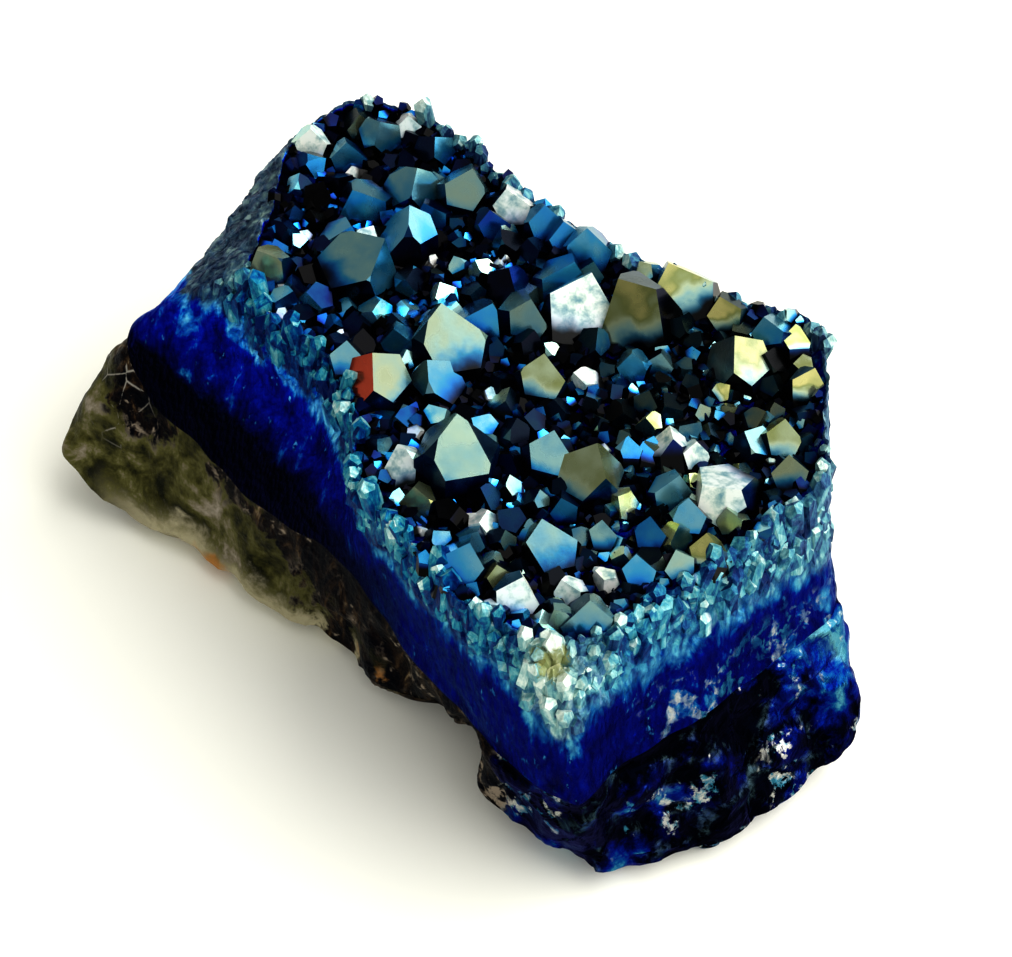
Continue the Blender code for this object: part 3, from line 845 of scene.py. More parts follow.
def large_crystal_material():
    material, tree, shader, place = new_material("coated_large_points")
    coat = use_group(tree, coat_group(), {
        "Vector": place,
        "Film": layer_value(tree, "film"),
        "Rise": layer_value(tree, "rise"),
        "Gleam": layer_value(tree, "gleam"),
        "Frost": layer_value(tree, "frost"),
        "Cloud Scale": 260.0,
    })
    for name in ("Roughness", "Metallic"):
        tree.links.new(coat[name], shader.inputs[name])
    tree.links.new(coat["Color"], shader.inputs["Base Color"])
    shader.inputs["Coat Weight"].default_value = 0.1
    shader.inputs["Coat Roughness"].default_value = 0.08
    grain = use_group(tree, grain_group(), {"Vector": place, "Scale": 900.0, "Chips": 0.2})
    bump(tree, shader, grain["Height"], 0.12, 0.0001)
    return material


def small_crystal_material(name, thinnest, thickest, lift):
    """Coating whose film thickens from the far left end to the right, crystal by crystal."""
    material, tree, shader, place = new_material(name)
    across = vector_value(tree, "DOT_PRODUCT", place, ACROSS)
    zone = ranged(tree, across, *FILM_ZONE, thinnest, thickest)
    chance = layer_value(tree, "chance")
    film = plus(tree, zone, ranged(tree, chance, 0.0, 1.0, -0.2, 0.2))
    rimward = layer_value(tree, "rimward")
    rim_film = ranged(tree, across, *OLIVE_RIM_ZONE, 0.56, 0.84)
    film = maths(tree, "MAXIMUM", film, times(tree, rimward, rim_film))
    tone = layer_value(tree, "tone")
    film = times(tree, film, ranged(tree, tone, 0.3, 0.7, DIM_FILM, 1.0))
    # Painted light: a random brightness per crystal times each face's painted share, painted
    # brighter toward the far left end, and kept up near the rim.
    gleam = times(tree, tone, ranged(tree, chance, 0.35, 0.92, 0.16, 1.45))
    gleam = maths(tree, "POWER", gleam, 1.4)
    gleam = times(tree, gleam, ranged(tree, across, *PAINTED_LIGHT_LEFT_ZONE, 1.4, 1.0))
    gleam = maths(tree, "MAXIMUM", gleam, times(tree, rimward, 0.75))
    rise = plus(tree, layer_value(tree, "rise"), lift)
    rise = plus(tree, rise, times(tree, rimward, 0.35))
    coat = use_group(tree, coat_group(), {
        "Vector": place,
        "Film": film,
        "Rise": rise,
        "Gleam": gleam,
        "Frost": maths(tree, "GREATER_THAN", chance, FROSTED_FROM),
        "Cloud Scale": 500.0,
    })
    for socket in ("Roughness", "Metallic"):
        tree.links.new(coat[socket], shader.inputs[socket])
    tree.links.new(coat["Color"], shader.inputs["Base Color"])
    return material


def band_colour(tree, place, upright, pale):
    """The pale band: columns from teal to white, grey where weathered, one olive stain."""
    streak = noise_value(tree, upright, 800.0, 7.0, 0.72, 0.7)
    column = add_node(tree, "ShaderNodeSeparateColor", {"Color": cells(tree, upright, 650.0)})
    shade = times_plus(tree, column.outputs[0], 0.2, times(tree, streak, 0.9))
    shade = plus(tree, shade, times(tree, maths(tree, "SUBTRACT", pale, 0.5), 0.45))
    shade = plus(tree, shade, ranged(tree, layer_value(tree, "chance"), 0.0, 1.0, -0.1, 0.1))
    # Painted light: the columns' end faces are painted paler and their upright sides darker.
    shade = plus(tree, shade, ranged(tree, layer_value(tree, "tone"), 0.0, 1.0, -0.1, 0.08))
    columns = ramp(tree, shade, BAND_COLOURS)
    grey = ramp(tree, shade, GREY_COLOURS)
    columns = mixed(tree, times(tree, layer_value(tree, "grey"), 0.75), columns, grey)
    stain = vector_value(tree, "DISTANCE", place, STAIN_PLACE)
    stain = plus(tree, stain, ranged(tree, streak, 0.3, 0.7, -0.0008, 0.0008))
    stain = ranged(tree, stain, *STAIN_EDGE, 0.0, 0.75)
    return mixed(tree, stain, columns, STAIN_COLOUR)


def foot_colour(tree, place, band, pale):
    """The dark blue foot of the wall, streaked, and chipped like the rock at the near end."""
    slanted = stretched(tree, place, (1.0, 1.0, 0.45), (0.5, 0.3, 0.0))
    swirl = noise_value(tree, slanted, 330.0, 6.0, 0.64, 0.6)
    parts = add_node(tree, "ShaderNodeSeparateXYZ", {"Vector": place}).outputs
    along, side = parts["X"], parts["Y"]
    # How far under the band a place lies, with a ragged line.
    hidden = times_plus(tree, swirl, 6.0, band)
    # The near end wears the rock's mottles, except close to the near left corner.
    rocky = times(tree, ranged(tree, hidden, 1.0, -1.0), ranged(tree, along, *NEAR_END_ZONE))
    rocky = times(tree, rocky, ranged(tree, side, *CORNER_ZONE))
    rocky = times(tree, rocky, mottled_mask(tree, place, CHIP_ZONE_SCALE, 0.48, 0.54))
    # Turquoise glows out of the band a little way down.
    glow = maths(tree, "DIVIDE", band, times(tree, pale, 5.0))
    shade = plus(tree, swirl, ranged(tree, glow, -1.2, 0.0, 0.0, 0.19))
    deep = ramp(tree, plus(tree, shade, times(tree, rocky, 0.1)), DEEP_COLOURS)
    fleck = ranged(tree, noise_value(tree, slanted, 1000.0, 5.0, 0.6), 0.64, 0.7)
    deep = mixed(tree, times(tree, fleck, 0.7), deep, STREAK_BLUE)
    # The scoop at the left is brighter; deep under the band the colour is painted nearly black
    # as painted shade, except toward the near end.
    gain = ranged(tree, along, -0.02, 0.006, 2.2, 1.0)
    gain = times(tree, gain, ranged(tree, along, 0.025, 0.032, 1.0, 0.85))
    deep = tinted(tree, deep, gain)
    sunk = ranged(tree, hidden, -5.5, -1.0, 0.01, 1.0)
    sunk = maths(tree, "MAXIMUM", sunk, ranged(tree, along, -0.002, 0.012))
    deep = tinted(tree, deep, sunk)
    chipped = times(tree, rocky, mottled_mask(tree, place, CHIP_SCALE, *CHIP_EDGE))
    chip_tint = mixed(tree, ranged(tree, swirl, 0.45, 0.58), CHIP_BLUE, CHIP_PALE)
    return mixed(tree, times(tree, chipped, CHIP_COVER), deep, chip_tint)


def wall_material(name):
    """Broken quartz columns: mottled teal band over smooth dark blue."""
    material, tree, shader, place = new_material(name)
    upright = stretched(tree, place, (1.0, 1.0, 0.42))
    pale = layer_value(tree, "pale")
    band = layer_value(tree, "band")
    ragged = ranged(tree, noise_value(tree, upright, 300.0), 0.3, 0.7, -1.4, 1.4)
    in_band = ranged(tree, plus(tree, band, ragged), -0.7, 0.9)
    columns = band_colour(tree, place, upright, pale)
    colour = mixed(tree, in_band, foot_colour(tree, place, band, pale), columns)
    # Painted shade: the grooves between the columns are painted darker and bluer.
    painted_groove_shade = ranged(tree, layer_value(tree, "groove"), 0.0, 0.35)
    colour = mixed(tree, painted_groove_shade, tinted(tree, colour, GROOVE_SHADE), colour)
    tree.links.new(colour, shader.inputs["Base Color"])
    tree.links.new(ranged(tree, in_band, 0.0, 1.0, 0.3, 0.38), shader.inputs["Roughness"])
    tree.links.new(ranged(tree, in_band, 0.0, 1.0, 0.8, 0.3), shader.inputs["Metallic"])
    shader.inputs["Specular IOR Level"].default_value = 0.15
    shader.inputs["Specular Tint"].default_value = (0.25, 0.5, 1.0, 1.0)
    grain = use_group(tree, grain_group(), {"Vector": upright, "Scale": 1700.0, "Chips": 0.9})
    bump(tree, shader, grain["Height"], 0.55, 0.0004)
    return material


def coated_rock_colour(tree, place, mottled, up):
    """Blue-black rock with royal blue and turquoise patches, with painted shade under the seam."""
    patch = ranged(tree, noise_value(tree, place, 90.0, 3.0), 0.5, 0.64)
    shade = times_plus(tree, layer_value(tree, "block"), 0.3, times(tree, mottled, 0.6))
    shade = plus(tree, shade, times(tree, patch, 0.2))
    deep = ramp(tree, shade, ROCK_COLOURS)
    # Painted shade: the rock is painted darker just under the seam, where the quartz stands over
    # it.
    return tinted(tree, deep, ranged(tree, up, 0.82, 1.0, 1.0, 0.8))


def bare_rock_colour(tree, place):
    sliver = stretched(tree, place, (1.0, 1.0, 0.35), (0.5, 0.4, 0.0))
    return ramp(tree, noise_value(tree, sliver, 420.0, 7.0, 0.68, 0.8), BROWN_COLOURS)


def slab_colour(tree, place, slab_noise, up, along):
    """The olive-grey slab, with a cream lower edge that is orange in places."""
    slab = ramp(tree, slab_noise, SLAB_COLOURS)
    low = times_plus(tree, slab_noise, -0.9, 0.68)
    low = ranged(tree, maths(tree, "SUBTRACT", low, up), 0.0, 0.22)
    low = times(tree, low, ranged(tree, along, -0.038, -0.03))
    orange = ranged(tree, noise_value(tree, place, 120.0, 3.0), 0.56, 0.66)
    return mixed(tree, times(tree, low, 0.8), slab, mixed(tree, orange, CREAM, ORANGE))


def crack_share(tree, place, slab_noise, up, along):
    """Fine pale cracks high on the far left end of the slab."""
    flattened = stretched(tree, place, (1.0, 1.0, 0.8))
    crack = cells(tree, flattened, 330.0, "Distance", "DISTANCE_TO_EDGE")
    crack = plus(tree, crack, ranged(tree, slab_noise, 0.42, 0.6, 0.0, 0.09))
    crack = times(tree, ranged(tree, crack, 0.04, 0.0), ranged(tree, along, -0.031, -0.036))
    crack = times(tree, crack, ranged(tree, up, 0.35, 0.6))
    crack = times(tree, crack, ranged(tree, layer_value(tree, "slab"), 0.2, 0.4))
    return times(tree, crack, 0.7)


def rock_material():
    """Glossy blue-black rock at the near end, brown-black along the front, olive slab."""
    material, tree, shader, place = new_material("host_rock")
    mottled = noise_value(tree, place, 380.0, 7.0, 0.7, 0.5)
    slab_noise = noise_value(tree, place, 210.0, 7.0, 0.66, 0.3)
    up = layer_value(tree, "up")
    along = add_node(tree, "ShaderNodeSeparateXYZ", {"Vector": place}).outputs["X"]

    # Where the slab is bare, and where the rock is coated, both with ragged edges.
    ragged = ranged(tree, slab_noise, 0.35, 0.65, 0.25, -0.25)
    slab_share = plus(tree, layer_value(tree, "slab"), ragged)
    bared = ranged(tree, up, 0.3, 1.0, 0.0, 0.5)
    bared = times(tree, bared, ranged(tree, along, -0.036, -0.028, 2.0, 1.0))
    slab_share = maths(tree, "SUBTRACT", slab_share, bared)
    ragged = ranged(tree, noise_value(tree, place, 160.0), 0.3, 0.7, -0.3, 0.3)
    coat_share = plus(tree, layer_value(tree, "coated"), ragged)
    blue_share = ranged(tree, coat_share, 0.35, 0.65)

    coated = coated_rock_colour(tree, place, mottled, up)
    colour = mixed(tree, blue_share, bare_rock_colour(tree, place), coated)
    slab = slab_colour(tree, place, slab_noise, up, along)
    colour = mixed(tree, ranged(tree, slab_share, 0.3, 0.5), colour, slab)
    colour = mixed(tree, crack_share(tree, place, slab_noise, up, along), colour, CRACK)

    # Pale chips in patches.
    chip = mottled_mask(tree, place, CHIP_SCALE, *CHIP_EDGE)
    chip = times(tree, chip, ranged(tree, slab_share, 0.5, 0.1, 0.0, CHIP_COVER))
    chip = times(tree, chip, mottled_mask(tree, place, CHIP_ZONE_SCALE, 0.55, 0.6))
    blue_chip = mixed(tree, ranged(tree, mottled, 0.47, 0.57), CHIP_BLUE, CHIP_PALE)
    colour = mixed(tree, chip, colour, mixed(tree, blue_share, CHIP_BEIGE, blue_chip))

    # Edges of the broken faces are worn a little paler.
    worn = ranged(tree, layer_value(tree, "edge"), 0.12, 0.0)
    worn = times(tree, worn, ranged(tree, mottled, 0.48, 0.62))
    worn = times(tree, worn, ranged(tree, slab_share, 0.7, 0.2))
    worn = times(tree, worn, ranged(tree, blue_share, 0.0, 1.0, 0.4, 0.18))
    colour = mixed(tree, worn, colour, mixed(tree, blue_share, CHIP_BEIGE, WORN_BLUE))

    tree.links.new(colour, shader.inputs["Base Color"])
    tree.links.new(ranged(tree, coat_share, 0.3, 0.7, 0.5, 0.25), shader.inputs["Roughness"])
    tree.links.new(ranged(tree, coat_share, 0.3, 0.7, 0.0, 0.75), shader.inputs["Metallic"])
    shader.inputs["Specular IOR Level"].default_value = 0.12
    shader.inputs["Specular Tint"].default_value = (0.2, 0.35, 0.8, 1.0)
    grain = use_group(tree, grain_group(), {"Vector": place, "Scale": 1100.0, "Chips": 0.6})
    height = times(tree, grain["Height"], ranged(tree, coat_share, 0.3, 0.7, 1.0, 0.25))
    bump(tree, shader, height, 0.5, 0.0004)
    return material


# Shapes.


def make_host_rock(columns, chip_size, chip_depth):
    """The broken rock, from its flat rest face up to the seam under the quartz."""
    seam = lumpy(ring_points(SEAM, columns), WALL_LUMPS)
    belly = lumpy(ring_points(BELLY, columns), ROCK_LUMPS)
    rest = belly.copy()
    spine_x = np.clip(belly[:, 0], -SPINE_HALF_LENGTH, SPINE_HALF_LENGTH)
    inward = np.stack((spine_x - belly[:, 0], SPINE_Y - belly[:, 1]), 1)
    inward /= np.linalg.norm(inward, axis=1, keepdims=True)
    rest[:, :2] += inward * (UNDERCUT * belly[:, 2])[:, None]
    rest[:, 2] = 0.0
    rows = blended(rest, belly, np.linspace(0.0, 1.0, ROCK_ROWS[0])[:-1])
    shares = np.linspace(0.0, 1.0, ROCK_ROWS[1])
    for share, ring in zip(shares, blended(belly, seam, shares)):
        if 0.0 < share < 1.0:
            ring = lumpy(ring, ROCK_LUMPS, math.sin(math.pi * share))
        rows.append(ring)
    grid = np.array(rows)
    normals = surface_normals(grid)
    flat = grid.reshape(-1, 3)
    slab = over_rows(ROCK_LOOKS, 0, columns, len(rows))
    coarse, coarse_edge, coarse_level = chips(flat, chip_size)
    fine, fine_edge, fine_level = chips(flat, chip_size * FINE_CHIPS)
    small, small_edge, small_level = chips(flat, chip_size * SMALL_CHIPS)
    rubble = fractal(flat, 1.6)
    coated = over_rows(ROCK_LOOKS, 1, columns, len(rows))
    relief = chip_depth * (coarse + (0.3 + 0.2 * coated) * fine + 0.1 * coated * small)
    relief = relief * (1.0 - 0.75 * slab) + (0.12 - 0.08 * coated) * rubble
    row = np.arange(len(rows))
    fade = smoothstep(row / 5.0) * smoothstep((len(rows) - 1 - row) / 4.0)
    moved = grid + normals * (relief.reshape(grid.shape[:2]) * fade[:, None])[..., None]
    moved[..., 2] = np.maximum(moved[..., 2], 0.0)
    moved[0, :, 2] = 0.0
    below = [drawn_in(rest, share) for share in (1.0, 0.5)]
    edge = ring_points(SEAM, COARSE_COLUMNS)
    above = [bed_ring(seam, edge, share, SEAM_DIP) for share in UNDER_SHARES]
    rings = below + list(moved) + above
    plain = np.ones(len(seam))
    up = [0.0] * (len(rings) - len(above) - len(shares)) + list(shares) + [1.0] * len(above)
    nearness = np.minimum(coarse_edge, fine_edge + 0.05)
    nearness = np.minimum(nearness, small_edge + 0.08).reshape(len(rows), -1)
    block = 0.5 + 0.2 * coarse_level + 0.2 * fine_level + 0.1 * small_level
    block = block.reshape(len(rows), -1)
    layers = {
        "slab": over_rows(ROCK_LOOKS, 0, columns, len(rings)),
        "coated": over_rows(ROCK_LOOKS, 1, columns, len(rings)),
        "up": np.array([plain * share for share in up]),
        "edge": np.array([plain] * len(below) + list(nearness) + [plain] * len(above)),
        "block": np.array([plain * 0.5] * len(below) + list(block) + [plain * 0.5] * len(above)),
    }
    return mesh_from_rings("host_rock_fine", rings, layers)


def quartz_rings(columns):
    """Smooth rings of the quartz wall from its foot to the rim, with their heights' share."""
    foot = lumpy(ring_points(SEAM, columns), WALL_LUMPS)
    shoulder = lumpy(ring_points(SHOULDER, columns), WALL_LUMPS)
    rim = lumpy(ring_points(RIM, columns), WALL_LUMPS)
    rows = blended(foot, shoulder, np.linspace(0.0, 1.0, WALL_ROWS[0])[:-1])
    return rows + blended(shoulder, rim, np.linspace(0.0, 1.0, WALL_ROWS[1]))


def make_quartz_wall(columns, column_width, column_depth):
    """The crust without its points: broken walls of upright columns, and the bed on top."""
    rows = quartz_rings(columns)
    grid = np.array(rows)
    normals = surface_normals(grid)
    flat = grid.reshape(-1, 3)
    band_foot = over_rows(WALL_LOOKS, 0, columns, len(rows))
    band = flat[:, 2] - band_foot
    in_band = smoothstep((band + 1.0) / 2.0)
    wide, wide_edge, _ = chips(flat, column_width * 2.2, (1.0, 1.0, 2.2))
    slim, slim_edge, _ = chips(flat, column_width, (1.0, 1.0, 2.6))
    smooth, _, _ = chips(flat, 6.0)
    rubble = fractal(flat, 1.2)
    relief = in_band * (0.55 * wide + 0.35 * slim + 0.2 * rubble) * column_depth
    relief += (1.0 - in_band) * (0.3 * smooth + 0.1 * rubble)
    row = np.arange(len(rows))
    fade = smoothstep(row / 4.0)
    moved = grid + normals * (relief.reshape(grid.shape[:2]) * fade[:, None])[..., None]
    under_edge = ring_points(SEAM, COARSE_COLUMNS)
    under = [bed_ring(rows[0], under_edge, share, SEAM_DIP) for share in UNDER_SHARES[::-1]]
    rim_edge = ring_points(RIM, COARSE_COLUMNS)
    inner_shares = np.linspace(0.0, 1.0, BED_ROWS)[1:] ** 1.15
    bed = [bed_ring(rows[-1], rim_edge, share, BED_DIP) for share in inner_shares]
    rings = under + list(moved) + bed
    groove = np.minimum(slim_edge, wide_edge + 0.1).reshape(len(rows), -1)
    plain = np.zeros(len(rows[0]))
    deep = plain + UNDER_BAND
    band = band.reshape(len(rows), -1)
    layers = {
        "band": np.array([deep] * len(under) + list(band) + [deep] * len(bed)),
        "pale": over_rows(WALL_LOOKS, 1, columns, len(rings)),
        "grey": over_rows(WALL_LOOKS, 2, columns, len(rings)),
        "groove": np.array([plain] * len(under) + list(groove) + [plain] * len(bed)),
        "chance": np.full(len(rings) * len(plain), 0.5),
        "tone": np.full(len(rings) * len(plain), 0.4),
    }
    return mesh_from_rings("quartz_wall", rings, layers)


def quartz_point(width, turn, chance, tall, lead, uneven):
    """A quartz crystal: six sides, and six end faces of which three are larger.

    Its tip is on its own +Z above the origin, and its root runs below the origin. The
    first end face is cut further in by lead, and all are uneven, in shares of the width.
    """
    small_setback = chance.uniform(*SMALL_FACE_SETBACK)
    tip = TIP_HEIGHT * width * tall
    root = ROOT_DEPTH * width
    corner = width / math.sqrt(3.0)
    turned = Matrix.Rotation(math.radians(turn), 4, "Z")
    crystal = bmesh.new()
    bmesh.ops.create_cone(
        crystal,
        cap_ends=True,
        segments=6,
        radius1=corner,
        radius2=corner,
        depth=tip + root + width,
        matrix=Matrix.Translation((0.0, 0.0, (tip + width - root) / 2)) @ turned,
    )
    for face in range(6):
        heading = math.radians(turn + 60.0 * face)
        normal = Vector((
            math.cos(heading) * math.cos(FACE_TO_AXIS),
            math.sin(heading) * math.cos(FACE_TO_AXIS),
            math.sin(FACE_TO_AXIS),
        ))
        setback = width * (small_setback * (face % 2) + uneven * chance.uniform(-1.0, 1.0))
        if face == 0:
            setback -= lead * width
        cut = bmesh.ops.bisect_plane(
            crystal,
            geom=crystal.verts[:] + crystal.edges[:] + crystal.faces[:],
            plane_co=(0.0, 0.0, tip + setback),
            plane_no=normal,
            clear_outer=True,
        )
        edges = [item for item in cut["geom_cut"] if isinstance(item, bmesh.types.BMEdge)]
        if edges:
            bmesh.ops.edgeloop_fill(crystal, edges=edges)
    bmesh.ops.recalc_face_normals(crystal, faces=crystal.faces[:])
    return crystal


def standing_matrix(foot, tilt, direction):
    """Places a crystal on its foot, leaning by tilt degrees toward direction."""
    lean = Matrix.Rotation(math.radians(tilt), 4, "Y")
    swing = Matrix.Rotation(math.radians(direction), 4, "Z")
    return Matrix.Translation(foot) @ swing @ lean @ swing.inverted()


def bed_heights(places):
    """Height of the bed at each place, as the quartz wall's mesh has it, and its inset."""
    edge = ring_points(RIM, COARSE_COLUMNS)
    at = np.array([(x, y, 0.0) for x, y in places])
    heights, away = height_within(edge, at[:, 0], at[:, 1])
    depth = smoothstep(away / BED_SHELF)
    at[:, 2] = heights - BED_DIP * depth
    return lumpy(at, BED_LUMPS)[:, 2], away


def make_large_points(seed):
    """Every large point on its foot, joined in one mesh, with the finish of each face."""
    chance = random.Random(seed)
    paint = random.Random(seed + 1)
    heights, inset = bed_heights([(row[0], row[1]) for row in LARGE_POINTS])
    rimward = 1.0 - smoothstep(inset / RIMWARD_REACH)
    verts, faces, rises, films, painted_lights, frosts = [], [], [], [], [], []
    for number, (x, y, width, tilt, direction, turn, finish) in enumerate(LARGE_POINTS):
        lead = chance.uniform(*LEAD_CUT) if turn == FACE else 0.0
        loose = LARGE_SWING if turn in (FACE, RIDGE) else 0.0
        swing = FACE_DIRECTION + turn + chance.uniform(-loose, loose)
        heading = Vector((math.cos(math.radians(swing)), math.sin(math.radians(swing)), 0.0))
        crystal = quartz_point(width, swing, chance, 1.0, lead, LARGE_UNEVEN)
        foot = Vector((x, y, heights[number] + LARGE_LIFT * width))
        stand = standing_matrix(foot, tilt, direction)
        start = len(verts)
        for vert in crystal.verts:
            verts.append(stand @ vert.co)
            rises.append(vert.co.z / (TIP_HEIGHT * width))
        film, gleam, frost = finish
        rusted = max(crystal.faces, key=lambda face: face.normal.dot(RUST_TOWARD))
        for face in crystal.faces:
            faces.append([start + vert.index for vert in face.verts])
            ending = face.normal.z > END_FACE_SLOPE
            rusty = number == RUST_POINT and face == rusted
            spread = chance.uniform(-FILM_SPREAD, FILM_SPREAD)
            face_film = min(MOST_FILM, film + spread)
            face_painted_light = gleam * chance.uniform(*PAINTED_LIGHT_SPREAD)
            # Painted light: the leading face is painted lit, the others take a share at random, and
            # the upright sides are painted darker, less so near the rim.
            leading = heading.dot(face.normal) > LEADING
            tone = 1.0 if leading else paint.choice(PAINTED_LIGHT_SHARES)
            face_painted_light *= tone
            face_film *= DIM_FILM if tone < DIM_PAINTED_SHARE else 1.0
            if not ending:
                face_film *= SHADED_SIDE_FILM + (1.0 - SHADED_SIDE_FILM) * rimward[number]
                face_painted_light *= SIDE_PAINTED_LIGHT + (1.0 - SIDE_PAINTED_LIGHT) * rimward[number]
            films.append(RUST if rusty else face_film)
            painted_lights.append(RUST_PAINTED_LIGHT if rusty else face_painted_light)
            broken = chance.random() < BROKEN_SHARE or leading
            frosts.append(frost * broken if ending else 0.0)
        crystal.free()
    mesh = bpy.data.meshes.new("large_points")
    mesh.from_pydata(framed(np.array(verts)).tolist(), [], faces)
    store(mesh, "rise", "FLOAT", "POINT", rises)
    store(mesh, "film", "FLOAT", "FACE", films)
    store(mesh, "gleam", "FLOAT", "FACE", painted_lights)
    store(mesh, "frost", "FLOAT", "FACE", frosts)
    mesh.validate()
    return mesh


def point_shapes(count, seed, tallest):
    """A collection of small crystals of one millimetre's width, each of another shape."""
    chance = random.Random(seed)
    shapes = bpy.data.collections.new("point_shapes")
    for number in range(count):
        tall = chance.uniform(1.0, tallest)
        lead = chance.uniform(0.0, MOST_SMALL_LEAD)
        crystal = quartz_point(1.0, 0.0, chance, tall, lead, SMALL_UNEVEN)
        bmesh.ops.scale(crystal, vec=(MM, MM, MM), verts=crystal.verts)
        mesh = bpy.data.meshes.new(f"point_shape_{number}")
        crystal.to_mesh(mesh)
        rises = [vert.co.z / (TIP_HEIGHT * tall * MM) for vert in mesh.vertices]
        store(mesh, "rise", "FLOAT", "POINT", rises)
        # Painted light: each face takes a share at random, and the upright sides are painted
        # darker.
        painted_light_shares = [
            chance.choice(PAINTED_LIGHT_SHARES) * (1.0 if face.normal.z > END_FACE_SLOPE else SIDE_PAINTED_LIGHT)
            for face in mesh.polygons
        ]
        store(mesh, "tone", "FLOAT", "FACE", painted_light_shares)
        crystal.free()
        shapes.objects.link(bpy.data.objects.new(mesh.name, mesh))
    return shapes


def growth_tree(name, shapes, material, upright=False):
    """Geometry Nodes: crystals spread over a surface where its growth layer allows.

    They stand on the surface, or upright along it if wanted.
    """
    tree = bpy.data.node_groups.new(name, "GeometryNodeTree")
    tree.is_modifier = True
    wanted = (
        ("Geometry", "NodeSocketGeometry"),
        ("Spacing", FLOAT),
        ("Smallest", FLOAT),
        ("Largest", FLOAT),
        ("Lean", FLOAT),
        ("Seed", "NodeSocketInt"),
    )
    for label, kind in wanted:
        tree.interface.new_socket(label, in_out="INPUT", socket_type=kind)
    tree.interface.new_socket("Geometry", in_out="OUTPUT", socket_type="NodeSocketGeometry")
    given = tree.nodes.new("NodeGroupInput").outputs
    out = tree.nodes.new("NodeGroupOutput").inputs
    room = add_node(tree, "GeometryNodeInputNamedAttribute", {"Name": "growth"}, data_type="FLOAT")
    spread = add_node(
        tree,
        "GeometryNodeDistributePointsOnFaces",
        {
            "Mesh": given["Geometry"],
            "Distance Min": given["Spacing"],
            "Density Max": GROWTH_DENSITY,
            "Density Factor": room.outputs["Attribute"],
            "Seed": given["Seed"],
        },
        distribute_method="POISSON",
    )
    lean = given["Lean"]
    low = add_node(tree, "ShaderNodeCombineXYZ", {
        "X": times(tree, lean, -1.0),
        "Y": times(tree, lean, -1.0),
    })
    high = add_node(tree, "ShaderNodeCombineXYZ", {"X": lean, "Y": lean, "Z": math.tau})
    turn = add_node(tree, "FunctionNodeRandomValue", data_type="FLOAT_VECTOR")
    connect(tree, low.outputs[0], turn.inputs[0])
    connect(tree, high.outputs[0], turn.inputs[1])
    connect(tree, given["Seed"], turn.inputs["Seed"])
    rotation = add_node(tree, "FunctionNodeEulerToRotation", {"Euler": turn.outputs[0]})
    if not upright:
        rotation = add_node(tree, "FunctionNodeRotateRotation", {
            "Rotation": spread.outputs["Rotation"],
            "Rotate By": rotation.outputs[0],
        }, rotation_space="LOCAL")
    size = add_node(tree, "FunctionNodeRandomValue", data_type="FLOAT")
    connect(tree, given["Smallest"], size.inputs[2])
    connect(tree, given["Largest"], size.inputs[3])
    connect(tree, plus(tree, given["Seed"], 3.0), size.inputs["Seed"])
    chosen = add_node(
        tree,
        "GeometryNodeCollectionInfo",
        {"Collection": shapes, "Separate Children": True, "Reset Children": True},
    )
    which = add_node(tree, "FunctionNodeRandomValue", data_type="INT")
    which.inputs[4].default_value = 0
    which.inputs[5].default_value = len(shapes.objects) - 1
    stood = add_node(tree, "GeometryNodeInstanceOnPoints", {
        "Points": spread.outputs["Points"],
        "Instance": chosen.outputs[0],
        "Pick Instance": True,
        "Instance Index": which.outputs[2],
        "Rotation": rotation.outputs[0],
        "Scale": size.outputs[1],
    })
    chance = add_node(tree, "FunctionNodeRandomValue", data_type="FLOAT")
    connect(tree, plus(tree, given["Seed"], 5.0), chance.inputs["Seed"])
    marked = add_node(
        tree,
        "GeometryNodeStoreNamedAttribute",
        {"Geometry": stood.outputs[0], "Name": "chance", "Value": chance.outputs[1]},
        data_type="FLOAT",
        domain="INSTANCE",
    )
    joined = add_node(tree, "GeometryNodeRealizeInstances", {"Geometry": marked.outputs[0]})
    finished = add_node(tree, "GeometryNodeSetMaterial", {
        "Geometry": joined.outputs[0],
        "Material": material,
    })
    tree.links.new(finished.outputs[0], out["Geometry"])
    return tree


def grow(name, surface, tree, values):
    """The plain mesh that a tree grows on a surface, whose carrier is then removed."""
    carrier = new_piece(name + "_carrier", surface)
    growth = carrier.modifiers.new("growth", "NODES")
    growth.node_group = tree
    for socket in tree.interface.items_tree:
        if socket.in_out == "INPUT" and socket.name in values:
            growth[socket.identifier] = values[socket.name]
    depsgraph = bpy.context.evaluated_depsgraph_get()
    mesh = bpy.data.meshes.new_from_object(carrier.evaluated_get(depsgraph), depsgraph=depsgraph)
    mesh.name = name
    bpy.data.objects.remove(carrier)
    return mesh


def drop_shapes(shapes):
    for shape in list(shapes.objects):
        bpy.data.objects.remove(shape)
    bpy.data.collections.remove(shapes)


def bed_surface(crowding, inset):
    """The bed as an open surface, with room to grow where no large point stands."""
    columns, rows = GROWTH_COLUMNS, GROWTH_ROWS
    edge = ring_points(RIM, COARSE_COLUMNS)
    rim = ring_points(RIM, columns)
    shares = np.linspace(0.0, 1.0, rows)
    grid = np.array([bed_ring(rim, edge, share, BED_DIP) for share in shares])
    flat = grid.reshape(-1, 3)
    room = np.ones(len(flat))
    for x, y, width, *rest in LARGE_POINTS:
        away = np.hypot(flat[:, 0] - x, flat[:, 1] - y)
        room = np.minimum(room, (away > crowding * width).astype(float))
    pale = over_rows(WALL_LOOKS, 1, columns, rows)
    away = height_within(edge, flat[:, 0], flat[:, 1])[1]
    rimward = (1.0 - smoothstep(away / RIMWARD_REACH)) * pale
    room = room * (away > inset)
    return open_surface("bed_surface", grid, {"growth": room, "rimward": rimward})


